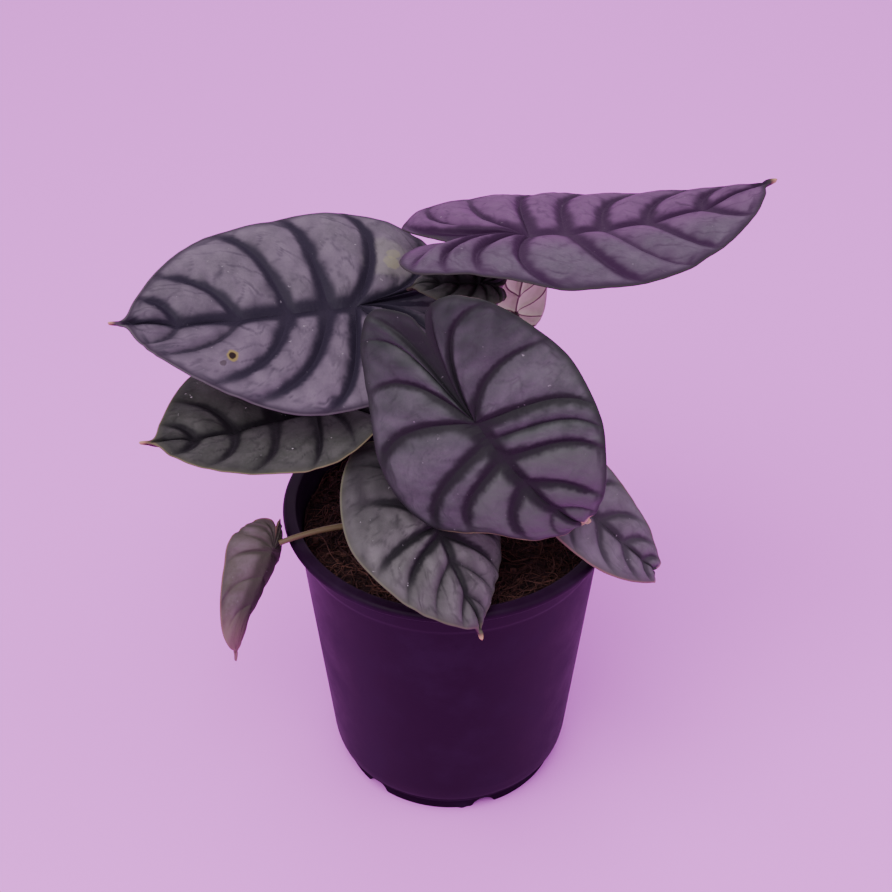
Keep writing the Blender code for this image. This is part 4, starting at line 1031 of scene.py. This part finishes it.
def addStrands():
    # Curly fibres: each starts at a random spot of the filling and walks a path whose heading turns
    # steadily; the height follows the filling plus a hump and a wave of its own, and a square of
    # points is carried along as its section.
    look = soilLook
    rng = np.random.default_rng(look["seed"])
    count, points = look["strands"], look["strandPoints"]
    limit = wallRadius(107.0) - 2.0
    start = np.sqrt(rng.uniform(0, 1, count)) * limit
    around = rng.uniform(0, math.tau, count)
    length = rng.uniform(6, 34, count)
    heading, bend = rng.uniform(0, math.tau, count), rng.normal(0, 2.6, count)
    t = np.linspace(0, 1, points)[None, :]
    curl = np.sin(t * rng.uniform(3, 9, count)[:, None] + rng.uniform(0, 6, count)[:, None])
    course = heading[:, None] + bend[:, None] * t + 0.7 * curl
    step = (length / (points - 1))[:, None]
    x = start[:, None] * np.cos(around)[:, None] + np.cumsum(np.cos(course) * step, 1)
    y = start[:, None] * np.sin(around)[:, None] + np.cumsum(np.sin(course) * step, 1)
    radius = np.hypot(x, y)
    shrink = np.where(radius > limit, limit / radius, 1.0)
    x, y = x * shrink, y * shrink
    hump = rng.gamma(1.5, 0.9, count)[:, None] * np.sin(math.pi * t) ** 0.8
    z = soilLevel(x, y) + 0.15 + hump + 0.5 * np.sin(t * rng.uniform(4, 12, count)[:, None]) * t * (1 - t) * 4
    path = np.stack([x, y, np.minimum(z, look["strandTop"])], -1)
    thick = rng.uniform(0.10, 0.27, count)[:, None] * (1 - 0.75 * np.abs(2 * t - 1) ** 3)
    way = unitAlong(np.gradient(path, axis=1))
    side = unitAlong(np.cross(way, np.array([0.2, 0.1, 0.97])))
    other = np.cross(way, side)
    angle = evenAngles(4)
    rings = (path[:, :, None] + thick[..., None, None] * (np.cos(angle)[:, None] * side[:, :, None]
                                                        + np.sin(angle)[:, None] * other[:, :, None]))
    caps = np.array([[3, 2, 1, 0], np.arange(4) + (points - 1) * 4])
    block = np.vstack([gridFaces(points, 4, closeColumns=True), caps])
    faces = (block[None] + (np.arange(count) * points * 4)[:, None, None]).reshape(-1, 4)
    tone = np.repeat(rng.beta(1.1, 2.6, count), points * 4)
    addPiece("coirFibres", rings.reshape(-1, 3), faces[:, ::-1], coirSkin, "coir", tone=tone)


def addChips():
    # Crumbs: small lumps, each a sphere's grid stretched and dented at random, lying on the filling.
    look = soilLook
    rng = np.random.default_rng(look["seed"] + 1)
    count, sides = look["chips"], 7
    limit = wallRadius(107.0) - 3.0
    start, around = np.sqrt(rng.uniform(0, 1, count)) * limit, rng.uniform(0, math.tau, count)
    x, y = start * np.cos(around), start * np.sin(around)
    polar = np.linspace(0, math.pi, 6)[1:-1]
    turn = evenAngles(sides)
    ball = np.stack([np.sin(polar)[:, None] * np.cos(turn), np.sin(polar)[:, None] * np.sin(turn),
                     np.cos(polar)[:, None] * np.ones(sides)], -1).reshape(-1, 3)
    ball = np.vstack([ball, (0, 0, 1), (0, 0, -1)])
    size = rng.uniform(0.4, 1.5, count)[:, None, None] * rng.uniform(0.5, 1.3, (count, 1, 3))
    dented = ball[None] * size * rng.uniform(0.75, 1.15, (count, len(ball), 1))
    yaw = rng.uniform(0, math.tau, count)[:, None]
    spots = np.stack([dented[..., 0] * np.cos(yaw) - dented[..., 1] * np.sin(yaw) + x[:, None],
                      dented[..., 0] * np.sin(yaw) + dented[..., 1] * np.cos(yaw) + y[:, None],
                      dented[..., 2] + (soilLevel(x, y) + 0.2)[:, None]], -1).reshape(-1, 3)
    rows = len(polar)
    offsets = (np.arange(count) * len(ball))[:, None, None]
    faces = (gridFaces(rows, sides, closeColumns=True)[None] + offsets).reshape(-1, 4).tolist()
    faces += (lidFaces(rows, sides)[None] + offsets).reshape(-1, 3).tolist()
    tone = np.repeat(rng.beta(1.3, 4.0, count), len(ball))
    addPiece("coirCrumbs", spots, faces, coirSkin, "coir", tone=tone)


def coirMaterial():
    # Dark to brown by clumps, and tan where a strand's or crumb's own tone is high.
    material, tree, shader = newMaterial("coirSkin", 0.85, 0.2)
    place = objectPlace(tree)
    clump = noiseNode(tree, place, 160.0, 6.0, 0.65)
    fine = noiseNode(tree, place, 900.0, 4.0, 0.6)
    color = mixColors(tree, rangeNode(tree, clump, 0.35, 0.7), soilLook["dark"], soilLook["brown"])
    share = calculate(tree, "MULTIPLY", attributeNode(tree, "tone", "Fac"),
                      rangeNode(tree, fine, 0.2, 0.7, 0.5, 1.1), clamp=True)
    tree.links.new(mixColors(tree, share, color, soilLook["tan"]), shader.inputs["Base Color"])
    bumpInto(tree, shader, fine, 0.6, 0.0012)
    return material


coirSkin = coirMaterial()
addSoil()
addStrands()
addChips()
print("filling made")

crownLook = dict(radius=5.0, depth=12.0, height=6.4, dark=(0.045, 0.022, 0.018), light=(0.16, 0.09, 0.06))


def addCrown():
    # Ringed stump: the radius shrinks to a dome and carries leaf-scar ridges and seeded dents.
    look = crownLook
    angle = evenAngles(64)
    level = np.append(np.linspace(-look["depth"], 0, 6), np.linspace(0.3, look["height"] - 0.02, 46))[:, None]
    up = np.clip(level / look["height"], 0, 1)
    radius = look["radius"] * (1 - 0.12 * up) * np.sqrt(np.clip(1 - up ** 5, 0, 1))
    dents = ripple(np.cos(angle) * 9, np.sin(angle) * 9 + level, 15, 8, 0.05, 0.25)
    radius = radius * (1 + 0.05 * np.sin(level * 3.1 + 0.8 * np.sin(2 * angle)) + 0.04 * dents)
    rings = np.stack([radius * np.cos(angle), radius * np.sin(angle), soilHeight + level + 0 * angle], -1)
    spots, faces = closedTube(rings)
    material, tree, shader = newMaterial("rootBarkSkin", 0.8)
    bark = noiseNode(tree, objectPlace(tree), 320.0, 6.0, 0.65)
    tree.links.new(mixColors(tree, bark, look["dark"], look["light"]), shader.inputs["Base Color"])
    bumpInto(tree, shader, bark, 0.6, 0.001)
    addPiece("rootStump", spots, faces, material, "root_bark", "crown")


addCrown()
print("rootstock made")
